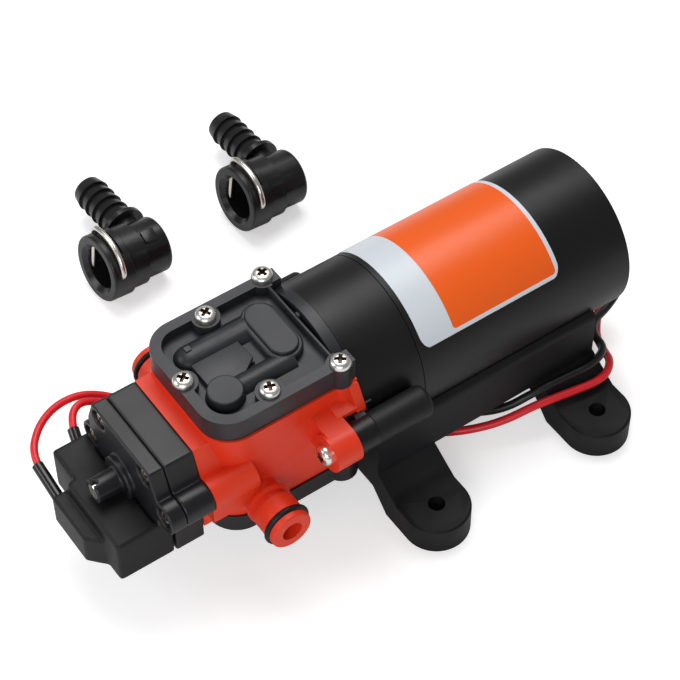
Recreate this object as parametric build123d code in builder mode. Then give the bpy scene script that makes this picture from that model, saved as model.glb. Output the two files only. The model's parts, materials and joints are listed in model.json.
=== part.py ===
from build123d import *
import math
import os

os.makedirs("parts", exist_ok=True)

# Frame: origin at the centre of the four foot holes on the mounting plane, +X along the
# motor towards its rear end, +Z up. The pressure switch is at the -X end. Millimetres.

# Clearances
fit_gap = 0.03
seat_gap = 0.1
skin_gap = 0.2
body_gap = 0.3

# Motor
axis_height = 38.5
sleeve_radius = 24.0
sleeve_wall = 0.8
sleeve_front_x = -21.8
sleeve_rear_x = 48.9
sleeve_lip = 1.5
sleeve_lip_width = 3.5
can_wall = 1.5
can_front_wall = 1.6
flange_front_x = -41.3
flange_plate = 2.3
shaft_radius = 2.5
shaft_past_hub = 0.2
front_bearing_radius = 8.0
front_bearing_width = 4.8
front_bearing_wall = 1.5
rear_bearing_radius = 5.0
rear_bearing_width = 4.8
end_cap_rim = 2.2
end_cap_spigot = 6.6
end_cap_dish_radius = 6.6
air_gap = 0.9
core_front_x = -6.0
core_slots = 7
slot_depth = 7.5
slot_width = 4.4
winding_setback = 2.4
winding_length = 5.5
commutator_radius = 6.0
commutator_length = 7.0
commutator_gap = 1.6
commutator_rear_gap = 2.3
commutator_bars = 14
magnet_thickness = 3.6
magnet_length = 34.0
magnet_front_x = -9.0
magnet_angle = 126.0
brush_width = 5.0
brush_height = 4.0
brush_length = 8.0
brush_holder_wall = 0.8
brush_holder_setback = 0.6

# Base
foot_x = 28.2
foot_reach = 14.0
foot_hole_radius = 2.4
foot_radius = 9.66
foot_height = 9.0
foot_edge = 0.7
web_reach = 8.3
saddle_wall = 1.0
saddle_top_drop = 6.9
saddle_floor = 2.5
saddle_corner = 3.0
saddle_front_x = -37.9
saddle_rear_x = 37.0
arch_height = 6.5
arch_setback = 2.5
arch_slope = 6.5

# Pump head
head_rise = 15.5
head_drop = 16.5
head_half_width = 20.0
head_front_x = -84.0
head_rear_x = -41.5
head_flange_rim = 0.4
head_flange_thickness = 3.2
neck_front_x = -88.4
head_corner = 9.0
pocket_depth = 6.4
pocket_front_x = -79.0
pocket_rear_x = -47.5
pocket_half_width = 12.9
pocket_corner = 3.0
chamber_setback = 15.2
crank_half_width = 12.0
crank_reach = 14.3
shaft_hole_radius = 6.5

# Covers and their screws
cover_thickness = 7.0
cover_half_width = 19.3
bottom_cover_half_width = 20.6
rim_width = 3.1
relief_depth = 2.9
cover_skin = 1.2
arch_thickness = 3.2
cover_ear_radius = 3.1
bottom_ear_radius = 4.6
rear_screw_x = -45.4
rear_screw_y = 18.1
middle_screw_x = -65.2
middle_screw_y = 15.1
front_screw_x = -81.7
screw_boss_radius = 3.9
screw_head_radius = 2.9
screw_head_height = 2.0
screw_radius = 1.4
screw_hole_radius = 1.6
screw_reach = 6.4
drive_arm = 3.4
drive_width = 0.8
drive_depth = 1.3

# Relief on the top cover
pill_x = -53.4
pill_y = 1.8
pill_radius = 5.3
pill_half_run = 5.4
pill_cap_radius = 4.2
pill_height = 2.4
pill_cap_height = 1.0
disc_x = -74.4
disc_y = -8.4
disc_radius = 5.3
disc_height = 3.4
disc_taper = 9.0
near_channel_radius = 3.7
near_channel_y = -7.4
far_channel_radius = 4.9
far_channel_y = 7.8
far_channel_end_x = -75.0
panel_height = 0.9
key_y = 4.0
key_width = 2.8
key_height = 1.6
mark_x = -75.0
mark_y = 8.6

# Diaphragms, valves and drive
diaphragm_thickness = 1.4
valve_plate_height = 6.3
valve_roof = 1.6
chamber_radius = 9.5
eccentric_offset = 1.6
journal_radius = 4.0
journal_length = 10.6
hub_radius = 5.4
hub_length = 7.2
counterweight_radius = 8.3
counterweight_length = 4.4
drive_bearing_radius = 7.5
drive_bearing_width = 5.0
drive_bearing_wall = 1.2
yoke_thickness = 7.0
yoke_half_width = 9.3
platform_radius = 6.6
piston_radius = 7.4
piston_thickness = 1.5
piston_screw_head_radius = 2.4
piston_screw_head_height = 1.4
piston_screw_length = 6.0
flap_radius = 2.7
flap_thickness = 0.6
flap_stem_radius = 0.8
inlet_flap_offset = 6.3
inlet_flap_y = 1.6
outlet_flap_offset = 5.3
outlet_flap_y = -2.2

# Ports
port_x = -72.7
port_drop = 10.2
port_tip_y = 35.2
port_tip_radius = 6.0
port_bore_radius = 3.0
port_neck_radius = 5.2
port_collar_radius = 6.35
port_barrel_radius = 6.1
port_groove_radius = 5.1
ring_wire_radius = 0.85
ring_groove_y = 31.5
ring_groove_width = 1.9
clip_groove_y = 24.8
clip_groove_width = 1.7
gallery_radius = 1.7
gallery_y = 15.9
duct_half_width = 22.3
duct_drop = 8.5
duct_rise = 3.7
duct_rear_x = -74.2
duct_corner = 4.0

# Lugs that hold the motor to the head, the near one above the axis and the far one below it
lug_offset = 4.5
lug_rise = 3.9
lug_radius = 5.5
lug_front_x = -57.0
ear_front_x = -49.1
ear_rear_x = -42.8
ear_radius = 4.7
lug_screw_radius = 1.5
lug_head_radius = 2.9
lug_head_height = 2.2
nut_width = 5.5
nut_height = 2.4
cap_radius = 4.6
cap_length = 17.6
cap_edge = 1.8
cap_shank_depth = 8.0

# Pressure switch
manifold_rear_x = -88.5
manifold_front_x = -97.1
housing_front_x = -101.8
flange_rise = 13.5
flange_top_half_width = 14.0
flange_shoulder_rise = 5.0
flange_shoulder_half_width = 17.2
flange_side_half_width = 16.7
flange_drop = 21.1
near_ear_y = -19.6
near_ear_rise = 1.1
near_ear_radius = 4.7
far_ear_y = 16.6
far_ear_drop = 2.7
far_ear_radius = 4.3
switch_screw_y = 11.0
switch_screw_rise = 9.7
recess_radius = 2.9
recess_depth = 2.4
switch_head_radius = 2.5
switch_head_height = 1.8
turret_drop = 1.9
turret_ring_radius = 6.4
turret_ring_height = 2.0
boss_radius = 3.6
boss_front_x = -111.2
boss_bore_radius = 2.3
notch_width = 1.6
notch_depth = 1.5
cavity_radius = 5.6
cavity_front_x = -100.4
switch_diaphragm_radius = 7.0
switch_diaphragm_thickness = 0.8
piston_disc_radius = 5.4
piston_disc_length = 1.3
piston_stem_radius = 1.2
piston_stem_length = 2.6
spring_outer_radius = 2.1
spring_wire_radius = 0.3
spring_turns = 6
spring_start_x = -99.2
spring_end_x = -106.6
seat_thickness = 1.2
set_screw_length = 3.2
set_screw_slot = 0.7
switch_travel = 0.8

# Switch cover, with the microswitch inside
cover_box_top_drop = 6.0
cover_box_bottom_drop = 21.0
cover_box_near_y = -16.3
cover_box_far_y = 20.8
cover_box_rear_x = -97.4
cover_box_front_x = -114.2
cover_box_step_x = -111.9
cover_box_step_y = 9.4
cover_box_wall = 1.4
cover_box_edge = 1.0
nose_front_x = -118.4
nose_near_y = -10.2
nose_far_y = 10.6
nose_top_drop = 10.5
nose_chamfer = 4.6
micro_front_x = -116.8
micro_depth = 5.8
micro_near_y = -4.4
micro_length = 12.8
micro_bottom_drop = 19.3
micro_height = 7.2
plunger_radius = 1.1
plunger_length = 3.4
plunger_drop = 15.5
plunger_reach = 1.4
arm_half_width = 1.8
arm_thickness = 1.1
finger_height = 2.0
arm_slot_gap = 0.3

# Wires
lead_radius = 1.2
lead_exit_drop = 16.1
lead_exit_step = 2.2
wire_radius = 1.1
shrink_radius = 1.65
shrink_a_x = -116.3
shrink_a_drop = 13.1
shrink_a_reach = 11.2
shrink_a_lift = 2.8
shrink_b_x = -104.0
shrink_b_drop = 11.5
shrink_b_reach = 5.4
shrink_b_lift = 2.0
tinned_radius = 0.75
tinned_length = 7.0

# Rating label
label_front_x = -20.2
label_rear_x = 26.0
label_thickness = 0.15
label_half_angle = 59.0

# Hose elbows, which stand loose beside the pump on the two steps of their sockets
elbow_mouth_x = -61.2
elbow_y = 86.0
elbow_pitch = 48.9
elbow_turn = 2.4
socket_length = 21.8
socket_mouth_radius = 10.5
socket_mouth_length = 7.2
socket_middle_radius = 9.7
socket_middle_end = 13.0
socket_rear_radius = 8.7
socket_rear_edge = 1.0
socket_mouth_edge = 0.7
socket_bore_radius = 6.6
socket_bore_depth = 13.0
socket_lead_in = 1.4
socket_throat_radius = 3.4
clip_shelf_depth = 2.2
clip_shelf_length = 2.6
barb_x = 17.0
barb_y = 31.0
barb_bore_radius = 3.0
barb_core_radius = 4.6
barb_ridge_radius = 5.4
barb_count = 5
barb_pitch = 3.6
barb_collar_y = 10.4
barb_collar_width = 1.5
barb_collar_radius = 6.9
barb_root_radius = 4.6
clip_wire_radius = 0.65
clip_x = 4.0
clip_leg_y = 6.3
clip_crown_z = 10.6
clip_corner = 2.8
clip_foot_z = -7.8

# Places that follow from the sizes above
can_radius = sleeve_radius - sleeve_wall - seat_gap
can_inner_radius = can_radius - can_wall
can_front_x = flange_front_x + flange_plate + seat_gap
end_cap_rear_x = sleeve_rear_x - sleeve_lip - seat_gap
can_rear_x = end_cap_rear_x - end_cap_rim - seat_gap
sleeve_lip_radius = sleeve_radius - sleeve_lip_width
magnet_outer = can_inner_radius - seat_gap
magnet_inner = magnet_outer - magnet_thickness
core_radius = magnet_inner - air_gap
winding_radius = core_radius - winding_setback
brush_holder_reach = can_inner_radius - brush_holder_setback
saddle_half_width = sleeve_radius + saddle_wall
saddle_top_z = axis_height - saddle_top_drop
web_root_z = axis_height - sleeve_radius
saddle_bottom_z = web_root_z - saddle_floor
web_inner_y = saddle_half_width + web_reach
foot_y = saddle_half_width + foot_reach
arch_half_width = saddle_half_width - arch_setback
head_top_z = axis_height + head_rise
head_bottom_z = axis_height - head_drop
head_flange_radius = sleeve_radius + head_flange_rim
head_x = pocket_rear_x - chamber_setback
crank_front_x = head_x - crank_reach
inlet_flap_x = head_x + inlet_flap_offset
outlet_flap_x = head_x - outlet_flap_offset
hub_x = pocket_rear_x - body_gap - hub_length
shaft_front_x = hub_x - shaft_past_hub
cover_top_z = head_top_z + cover_thickness
relief_z = cover_top_z - relief_depth
port_z = axis_height - port_drop
duct_bottom_z = axis_height - duct_drop
duct_top_z = axis_height + duct_rise
lug_y = sleeve_radius + lug_offset
flange_top_z = axis_height + flange_rise
flange_shoulder_z = axis_height + flange_shoulder_rise
flange_bottom_z = axis_height - flange_drop
switch_screw_z = axis_height + switch_screw_rise
turret_z = axis_height - turret_drop
cover_box_top_z = axis_height - cover_box_top_drop
cover_box_bottom_z = axis_height - cover_box_bottom_drop
nose_top_z = axis_height - nose_top_drop
micro_bottom_z = axis_height - micro_bottom_drop
plunger_z = axis_height - plunger_drop
near_ear = (near_ear_y, axis_height + near_ear_rise)
far_ear = (far_ear_y, axis_height - far_ear_drop)
mirror_plane = Plane(origin=(0, 0, axis_height), z_dir=(0, 0, 1))
far_plane = Plane(origin=(0, 0, 0), z_dir=(0, 1, 0))


def across(x, y=0.0, z=axis_height):
    """Plane square to the motor axis: its first direction is +Y, its second +Z."""
    return Plane(origin=(x, y, z), x_dir=(0, 1, 0), z_dir=(1, 0, 0))


def disc(plane, radius):
    with BuildSketch(plane) as face:
        Circle(radius)
    return face.sketch


def block(plane, width, height, corner=0.0):
    with BuildSketch(plane) as face:
        Rectangle(width, height)
        if corner > 0:
            fillet(face.vertices(), corner)
    return face.sketch


def rod(plane, radius, length, mode=Mode.ADD):
    extrude(disc(plane, radius), amount=length, mode=mode)


def box_between(low, high, mode=Mode.ADD):
    size = [b - a for a, b in zip(low, high)]
    centre = [(a + b) / 2 for a, b in zip(low, high)]
    extrude(
        block(Plane(origin=(centre[0], centre[1], low[2])), size[0], size[1]),
        amount=size[2],
        mode=mode,
    )


def cross_cut(plane, arm, width, depth):
    """A cross-shaped drive recess, cut down into the face that the plane lies on."""
    with BuildSketch(plane) as cross:
        Rectangle(arm, width)
        Rectangle(width, arm)
    extrude(cross.sketch, amount=-depth, mode=Mode.SUBTRACT)


def lug_z(side):
    """Height of a lug: the near one (-1) is as far above the axis as the far one (1) is below."""
    return axis_height - side * lug_rise


def finish(part, label):
    part.label = label
    export_step(part, f"parts/{label}.step")


# Motor sleeve, a black tube with an in-turned lip at the rear
with BuildPart() as motor_sleeve:
    rod(across(sleeve_front_x), sleeve_radius, sleeve_rear_x - sleeve_front_x)
    bore_length = sleeve_rear_x - sleeve_lip - sleeve_front_x
    rod(across(sleeve_front_x), sleeve_radius - sleeve_wall, bore_length, Mode.SUBTRACT)
    rod(across(sleeve_rear_x), sleeve_lip_radius, -sleeve_lip, Mode.SUBTRACT)
    outer_edge = motor_sleeve.edges().filter_by(GeomType.CIRCLE).group_by(Axis.X)[-1]
    fillet(outer_edge.sort_by(SortBy.RADIUS)[-1], 0.5)
finish(motor_sleeve.part, "motor_sleeve")

# Motor can, a steel cup with a bearing seat in its front wall
with BuildPart() as motor_can:
    rod(across(can_front_x), can_radius, can_rear_x - can_front_x)
    inner_x = can_front_x + can_front_wall
    rod(across(inner_x), can_inner_radius, can_rear_x - inner_x, Mode.SUBTRACT)
    seat_radius = front_bearing_radius + fit_gap
    rod(across(inner_x), seat_radius + front_bearing_wall, front_bearing_width - can_front_wall)
    rod(across(can_front_x), seat_radius, front_bearing_width, Mode.SUBTRACT)
finish(motor_can.part, "motor_can")

# Front bearing of the motor
with BuildPart() as front_bearing:
    rod(across(can_front_x), front_bearing_radius, front_bearing_width - fit_gap)
    rod(across(can_front_x), shaft_radius + fit_gap, front_bearing_width, Mode.SUBTRACT)
    chamfer(front_bearing.edges().filter_by(GeomType.CIRCLE), 0.2)
finish(front_bearing.part, "front_motor_bearing")

# Permanent magnets, two arcs that line the can
with BuildPart() as field_magnets:
    with BuildSketch(across(magnet_front_x)) as arcs:
        Circle(magnet_outer)
        Circle(magnet_inner, mode=Mode.SUBTRACT)
        gap_half = math.radians((180 - magnet_angle) / 2)
        wedge = [
            (0, 0),
            (2 * magnet_outer * math.cos(gap_half), 2 * magnet_outer * math.sin(gap_half)),
            (2 * magnet_outer * math.cos(gap_half), -2 * magnet_outer * math.sin(gap_half)),
        ]
        with PolarLocations(0, 2):
            Polygon(*wedge, align=None, mode=Mode.SUBTRACT)
    extrude(arcs.sketch, amount=magnet_length)
finish(field_magnets.part, "field_magnets")

# End cap of the motor, a moulding that holds the rear bearing and the brushes
end_cap_face_x = can_rear_x - end_cap_spigot
commutator_x = end_cap_face_x - commutator_rear_gap - commutator_length
core_length = commutator_x - commutator_gap - winding_length - core_front_x
rear_bearing_x = end_cap_face_x
with BuildPart() as motor_end_cap:
    rod(across(end_cap_face_x), can_inner_radius - seat_gap, end_cap_spigot + seat_gap)
    rod(across(can_rear_x + seat_gap), can_radius, end_cap_rim)
    rod(across(end_cap_face_x), rear_bearing_radius + fit_gap, rear_bearing_width, Mode.SUBTRACT)
    with BuildSketch(across(end_cap_rear_x)) as vents:
        with PolarLocations(11.5, 5, start_angle=18, angular_range=216, rotate=True):
            SlotOverall(5.0, 1.8, rotation=90)
    extrude(vents.sketch, amount=-1.4, mode=Mode.SUBTRACT)
    rod(across(end_cap_rear_x), end_cap_dish_radius, -0.8, Mode.SUBTRACT)
finish(motor_end_cap.part, "motor_end_cap")

with BuildPart() as rear_bearing:
    rod(across(rear_bearing_x + seat_gap), rear_bearing_radius, rear_bearing_width - 2 * seat_gap)
    rod(across(rear_bearing_x), shaft_radius + fit_gap, rear_bearing_width, Mode.SUBTRACT)
finish(rear_bearing.part, "rear_motor_bearing")

# Brushes in brass boxes on the end cap, each with its spring
brush_x = commutator_x + commutator_length / 2
brush_start = commutator_radius + seat_gap
holder_width = brush_width + 2 * (brush_holder_wall + fit_gap)
holder_height = brush_height + 2 * (brush_holder_wall + fit_gap)
holder_start = brush_start + 1.5
spring_start = brush_start + brush_length + fit_gap
side_plane = Plane(origin=(brush_x, 0, axis_height), x_dir=(1, 0, 0), z_dir=(0, 1, 0))
with BuildPart() as brush_holders:
    holder_plane = side_plane.offset(holder_start)
    holder_length = brush_holder_reach - holder_start
    extrude(block(holder_plane, holder_width, holder_height), amount=holder_length)
    extrude(
        block(holder_plane, brush_width + 2 * fit_gap, brush_height + 2 * fit_gap),
        amount=holder_length - brush_holder_wall,
        mode=Mode.SUBTRACT,
    )
    foot_start = brush_x + holder_width / 2
    box_between(
        (foot_start, holder_start + 1.0, axis_height - holder_height / 2),
        (end_cap_face_x - fit_gap, brush_holder_reach - 2.0, axis_height + holder_height / 2),
    )
    mirror(about=far_plane)
finish(brush_holders.part, "brush_holders")

with BuildPart() as carbon_brushes:
    extrude(block(side_plane.offset(brush_start), brush_width, brush_height), amount=brush_length)
    mirror(about=far_plane)
finish(carbon_brushes.part, "carbon_brushes")

with BuildPart() as brush_springs:
    spring_room = brush_holder_reach - brush_holder_wall - spring_start - fit_gap
    rod(side_plane.offset(spring_start), brush_height / 2 - 0.2, spring_room)
    rod(side_plane.offset(spring_start), brush_height / 2 - 0.7, spring_room, Mode.SUBTRACT)
    mirror(about=far_plane)
finish(brush_springs.part, "brush_springs")

# Rotor: shaft, laminated core, windings and commutator
shaft_rear_x = rear_bearing_x + rear_bearing_width - body_gap
with BuildPart() as motor_shaft:
    rod(across(shaft_front_x), shaft_radius, shaft_rear_x - shaft_front_x)
    chamfer(motor_shaft.edges().filter_by(GeomType.CIRCLE), 0.3)
finish(motor_shaft.part, "motor_shaft")

with BuildPart() as armature_core:
    rod(across(core_front_x), core_radius, core_length)
    with BuildSketch(across(core_front_x)) as slots:
        with PolarLocations(core_radius - slot_depth / 2 - 1.2, core_slots):
            RectangleRounded(slot_depth, slot_width, 1.2)
        with PolarLocations(core_radius - 0.8, core_slots):
            Rectangle(2.4, 1.4)
    extrude(slots.sketch, amount=core_length, mode=Mode.SUBTRACT)
    rod(across(core_front_x), shaft_radius + fit_gap, core_length, Mode.SUBTRACT)
finish(armature_core.part, "armature_core")

with BuildPart() as armature_windings:
    coil_inner = shaft_radius + 1.5
    for coil_x in (core_front_x - winding_length - fit_gap, core_front_x + core_length + fit_gap):
        with BuildSketch(Plane.XZ) as end_turn:
            with Locations((coil_x + winding_length / 2, axis_height + (winding_radius + coil_inner) / 2)):
                RectangleRounded(winding_length, winding_radius - coil_inner, 2.0)
        motor_axis = Axis((0, 0, axis_height), (1, 0, 0))
        revolve(end_turn.sketch, axis=motor_axis)
finish(armature_windings.part, "armature_windings")

with BuildPart() as commutator:
    rod(across(commutator_x), commutator_radius, commutator_length)
    with BuildSketch(across(commutator_x)) as bar_gaps:
        with PolarLocations(commutator_radius, commutator_bars):
            Rectangle(1.2, 0.35)
    extrude(bar_gaps.sketch, amount=commutator_length, mode=Mode.SUBTRACT)
    rod(across(commutator_x), shaft_radius + fit_gap, commutator_length, Mode.SUBTRACT)
finish(commutator.part, "commutator")

# Front housing of the motor: a shell over the can with an ear on each side
with BuildPart() as motor_flange:
    shell_length = sleeve_front_x - skin_gap - flange_front_x
    rod(across(flange_front_x), sleeve_radius, shell_length)
    bore_x = flange_front_x + flange_plate
    rod(across(bore_x), sleeve_radius - sleeve_wall, shell_length - flange_plate, Mode.SUBTRACT)
    rod(across(flange_front_x), shaft_hole_radius, flange_plate, Mode.SUBTRACT)
    web_half = ear_radius - 0.6
    web_inner_edge = sleeve_radius - 5.0
    for side in (-1, 1):
        rod(across(ear_front_x, side * lug_y, lug_z(side)), ear_radius, ear_rear_x - ear_front_x)
        outer_web = sorted((side * (sleeve_radius - 3.0), side * lug_y))
        box_between(
            (flange_front_x - 4.6, outer_web[0], lug_z(side) - web_half),
            (ear_rear_x, outer_web[1], lug_z(side) + web_half),
        )
        inner_web = sorted((side * web_inner_edge, side * (sleeve_radius - 0.7)))
        box_between(
            (flange_front_x - 4.6, inner_web[0], lug_z(side) - web_half),
            (flange_front_x + flange_plate, inner_web[1], lug_z(side) + web_half),
        )
        rod(
            across(ear_front_x, side * lug_y, lug_z(side)),
            lug_screw_radius + seat_gap,
            ear_rear_x - ear_front_x,
            Mode.SUBTRACT,
        )
finish(motor_flange.part, "motor_flange")

# Rating label, a thin wrap on top of the sleeve
with BuildPart() as rating_label:
    label_mid = (label_front_x + label_rear_x) / 2
    label_flat = 2 * sleeve_radius * math.sin(math.radians(label_half_angle))
    top_plane = Plane(origin=(label_mid, 0, axis_height))
    with BuildSketch(top_plane) as label_plan:
        RectangleRounded(label_rear_x - label_front_x, label_flat, 2.4)
    extrude(label_plan.sketch, amount=sleeve_radius + 2)
    with BuildPart(mode=Mode.PRIVATE) as label_ring:
        inner_r = sleeve_radius + 0.02
        rod(across(label_front_x - 1), inner_r + label_thickness, label_rear_x - label_front_x + 2)
        rod(across(label_front_x - 1), inner_r, label_rear_x - label_front_x + 2, Mode.SUBTRACT)
    add(label_ring.part, mode=Mode.INTERSECT)
finish(rating_label.part, "rating_label")

# Base: a saddle under the motor and two bridges, each with a foot pad at both ends
with BuildPart() as base_saddle:
    with BuildSketch(across(saddle_front_x, 0, 0)) as saddle_section:
        with Locations((0, (saddle_top_z + saddle_bottom_z) / 2)):
            Rectangle(2 * saddle_half_width, saddle_top_z - saddle_bottom_z)
        fillet(saddle_section.vertices().group_by(Axis.Z)[0], saddle_corner)
        with Locations((0, axis_height)):
            Circle(sleeve_radius + skin_gap, mode=Mode.SUBTRACT)
    extrude(saddle_section.sketch, amount=saddle_rear_x - saddle_front_x)
    for bridge_x in (-foot_x, foot_x):
        with BuildSketch(across(bridge_x - foot_radius, 0, 0)) as bridge_section:
            with BuildLine():
                Polyline(
                    (-web_inner_y, foot_height),
                    (-saddle_half_width + 1.0, web_root_z),
                    (-saddle_half_width + 1.0, saddle_bottom_z + 2.2),
                    (saddle_half_width - 1.0, saddle_bottom_z + 2.2),
                    (saddle_half_width - 1.0, web_root_z),
                    (web_inner_y, foot_height),
                    (foot_y, foot_height),
                    (foot_y, 0),
                    (arch_half_width + arch_slope, 0),
                    (arch_half_width, arch_height),
                    (-arch_half_width, arch_height),
                    (-arch_half_width - arch_slope, 0),
                    (-foot_y, 0),
                    (-foot_y, foot_height),
                    close=True,
                )
            make_face()
            with Locations((0, axis_height)):
                Circle(sleeve_radius + skin_gap, mode=Mode.SUBTRACT)
        extrude(bridge_section.sketch, amount=2 * foot_radius)
    with BuildSketch() as pads:
        with GridLocations(2 * foot_x, 2 * foot_y, 2, 2):
            Circle(foot_radius)
    extrude(pads.sketch, amount=foot_height)
    with BuildSketch() as foot_holes:
        with GridLocations(2 * foot_x, 2 * foot_y, 2, 2):
            Circle(foot_hole_radius)
    extrude(foot_holes.sketch, amount=foot_height, mode=Mode.SUBTRACT)
    pad_rims = base_saddle.edges().filter_by(GeomType.CIRCLE).group_by(Axis.Z)
    rims = [e for e in pad_rims[-1] + base_saddle.edges().filter_by(GeomType.CIRCLE)
            if abs(e.radius - foot_radius) < 0.01 and abs(e.center().Z - foot_height) < 0.01]
    fillet(rims, foot_edge)
finish(base_saddle.part, "base_saddle")


def switch_flange_outline(plane, bottom_z, bottom_half_width):
    """Outline of the switch flange: sloped shoulders, straight sides and a round ear a side."""
    with BuildSketch(plane) as plan:
        with BuildLine():
            Polyline(
                (-flange_top_half_width, flange_top_z),
                (flange_top_half_width, flange_top_z),
                (flange_shoulder_half_width, flange_shoulder_z),
                (bottom_half_width, flange_shoulder_z - 4.0),
                (bottom_half_width, bottom_z),
                (-bottom_half_width, bottom_z),
                (-bottom_half_width, flange_shoulder_z - 4.0),
                (-flange_shoulder_half_width, flange_shoulder_z),
                close=True,
            )
        make_face()
        with Locations(near_ear):
            Circle(near_ear_radius)
        with Locations(far_ear):
            Circle(far_ear_radius)
    return plan.sketch


def head_outline(plane, half_width):
    """Plan of the pump head: straight rear, round front corners, round ears at the rear screws."""
    with BuildSketch(plane) as plan:
        length = head_rear_x - head_front_x
        with Locations(((head_front_x + head_rear_x) / 2, 0)):
            Rectangle(length, 2 * half_width)
        fillet(plan.vertices().group_by(Axis.X)[0], head_corner)
        with Locations((rear_screw_x, rear_screw_y), (rear_screw_x, -rear_screw_y)):
            Circle(cover_ear_radius)
    return plan.sketch


def screw_points():
    return [
        (rear_screw_x, rear_screw_y),
        (rear_screw_x, -rear_screw_y),
        (middle_screw_x, middle_screw_y),
        (middle_screw_x, -middle_screw_y),
        (front_screw_x, 0),
    ]


def pocket_plan(plane):
    length = pocket_rear_x - pocket_front_x
    with BuildSketch(plane) as plan:
        with Locations(((pocket_front_x + pocket_rear_x) / 2, 0)):
            RectangleRounded(length, 2 * pocket_half_width, pocket_corner)
    return plan.sketch


# Pump body, a red moulding with the crank chamber, both ports and the lugs
with BuildPart() as pump_body:
    body_height = head_top_z - head_bottom_z
    extrude(head_outline(Plane.XY.offset(head_bottom_z), head_half_width), amount=body_height)
    neck_section = switch_flange_outline(across(neck_front_x, 0, 0), head_bottom_z, flange_side_half_width)
    extrude(neck_section, amount=head_front_x - neck_front_x + head_corner)
    rod(across(head_rear_x), head_flange_radius, -head_flange_thickness)
    box_between(
        (head_rear_x - head_flange_thickness - 1, -head_flange_radius - 1, head_top_z),
        (head_rear_x + 1, head_flange_radius + 1, head_top_z + head_flange_radius),
        Mode.SUBTRACT,
    )
    box_between(
        (head_rear_x - head_flange_thickness - 1, -head_flange_radius - 1, 0),
        (head_rear_x + 1, head_flange_radius + 1, head_bottom_z),
        Mode.SUBTRACT,
    )
    for side in (-1, 1):
        duct = sorted((side * pocket_half_width, side * duct_half_width))
        with BuildSketch(across(neck_front_x, 0, 0)) as duct_section:
            with Locations(((duct[0] + duct[1]) / 2, (duct_bottom_z + duct_top_z) / 2)):
                Rectangle(duct[1] - duct[0], duct_top_z - duct_bottom_z)
            outer_corner = duct_section.vertices().sort_by(Axis.Y)[-2:].sort_by(Axis.X)
            fillet(outer_corner[0 if side < 0 else -1], duct_corner)
        extrude(duct_section.sketch, amount=duct_rear_x - neck_front_x)
        lug_plane = across(lug_front_x, side * lug_y, lug_z(side))
        rod(lug_plane, lug_radius, ear_front_x - seat_gap - lug_front_x)
        lug_web = sorted((side * (head_half_width - 1), side * lug_y))
        box_between(
            (lug_front_x + 0.8, lug_web[0], lug_z(side) - lug_radius + 0.8),
            (ear_front_x - seat_gap, lug_web[1], lug_z(side) + lug_radius),
        )
        port_start = Plane(
            origin=(port_x, side * (pocket_half_width + 1), port_z),
            x_dir=(1, 0, 0),
            z_dir=(0, side, 0),
        )
        port_steps = (
            (port_neck_radius, clip_groove_y - 1.3),
            (port_collar_radius, clip_groove_y),
            (port_groove_radius, clip_groove_y + clip_groove_width),
            (port_barrel_radius, ring_groove_y),
            (port_groove_radius, ring_groove_y + ring_groove_width),
            (port_tip_radius, port_tip_y),
        )
        step_start = pocket_half_width + 1
        for step_radius, step_end in port_steps:
            rod(port_start.offset(step_start - pocket_half_width - 1), step_radius, step_end - step_start)
            step_start = step_end
    tip_edges = [e for e in pump_body.edges().filter_by(GeomType.CIRCLE)
                 if abs(abs(e.center().Y) - port_tip_y) < 0.01]
    fillet(tip_edges, 0.6)
    for side in (-1, 1):
        port_mouth = Plane(
            origin=(port_x, side * port_tip_y, port_z), x_dir=(1, 0, 0), z_dir=(0, side, 0)
        )
        bore_reach = port_tip_y - gallery_y
        rod(port_mouth, port_bore_radius, -bore_reach, Mode.SUBTRACT)
        rod(Plane(origin=(port_x, side * gallery_y, port_z)), gallery_radius, body_height, Mode.SUBTRACT)
        notch = sorted((side * (sleeve_radius - 5.3), side * (lug_y + ear_radius)))
        box_between(
            (ear_front_x - seat_gap + 0.01, notch[0], lug_z(side) - ear_radius - body_gap),
            (head_rear_x + 1, notch[1], lug_z(side) + ear_radius + body_gap),
            Mode.SUBTRACT,
        )
        rod(
            across(lug_front_x, side * lug_y, lug_z(side)),
            lug_screw_radius + seat_gap,
            ear_front_x - lug_front_x,
            Mode.SUBTRACT,
        )
    upper_pocket = pocket_plan(Plane.XY.offset(head_top_z - pocket_depth))
    extrude(upper_pocket, amount=pocket_depth, mode=Mode.SUBTRACT)
    lower_pocket = pocket_plan(Plane.XY.offset(head_bottom_z))
    lower_depth = 2 * axis_height - head_top_z + pocket_depth - head_bottom_z
    extrude(lower_pocket, amount=lower_depth, mode=Mode.SUBTRACT)
    box_between(
        (crank_front_x, -crank_half_width, head_bottom_z),
        (pocket_rear_x, crank_half_width, head_top_z),
        Mode.SUBTRACT,
    )
    rod(across(pocket_rear_x - 1), shaft_hole_radius, head_rear_x - pocket_rear_x + 2, Mode.SUBTRACT)
    with BuildSketch(Plane.XY.offset(head_top_z)) as upper_screws:
        with Locations(*screw_points()):
            Circle(screw_hole_radius)
    extrude(upper_screws.sketch, amount=-screw_reach - 1, mode=Mode.SUBTRACT)
    with BuildSketch(Plane.XY.offset(head_bottom_z)) as lower_screws:
        with Locations(*screw_points()):
            Circle(screw_hole_radius)
    extrude(lower_screws.sketch, amount=screw_reach + 1, mode=Mode.SUBTRACT)
    switch_points = [
        (-switch_screw_y, switch_screw_z),
        (switch_screw_y, switch_screw_z),
        near_ear,
        far_ear,
    ]
    with BuildSketch(across(neck_front_x, 0, 0)) as switch_holes:
        with Locations(*switch_points):
            Circle(lug_screw_radius)
    extrude(switch_holes.sketch, amount=5.5, mode=Mode.SUBTRACT)
    rod(across(neck_front_x, 0, turret_z), gallery_radius, crank_front_x - neck_front_x, Mode.SUBTRACT)
finish(pump_body.part, "pump_body")

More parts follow.
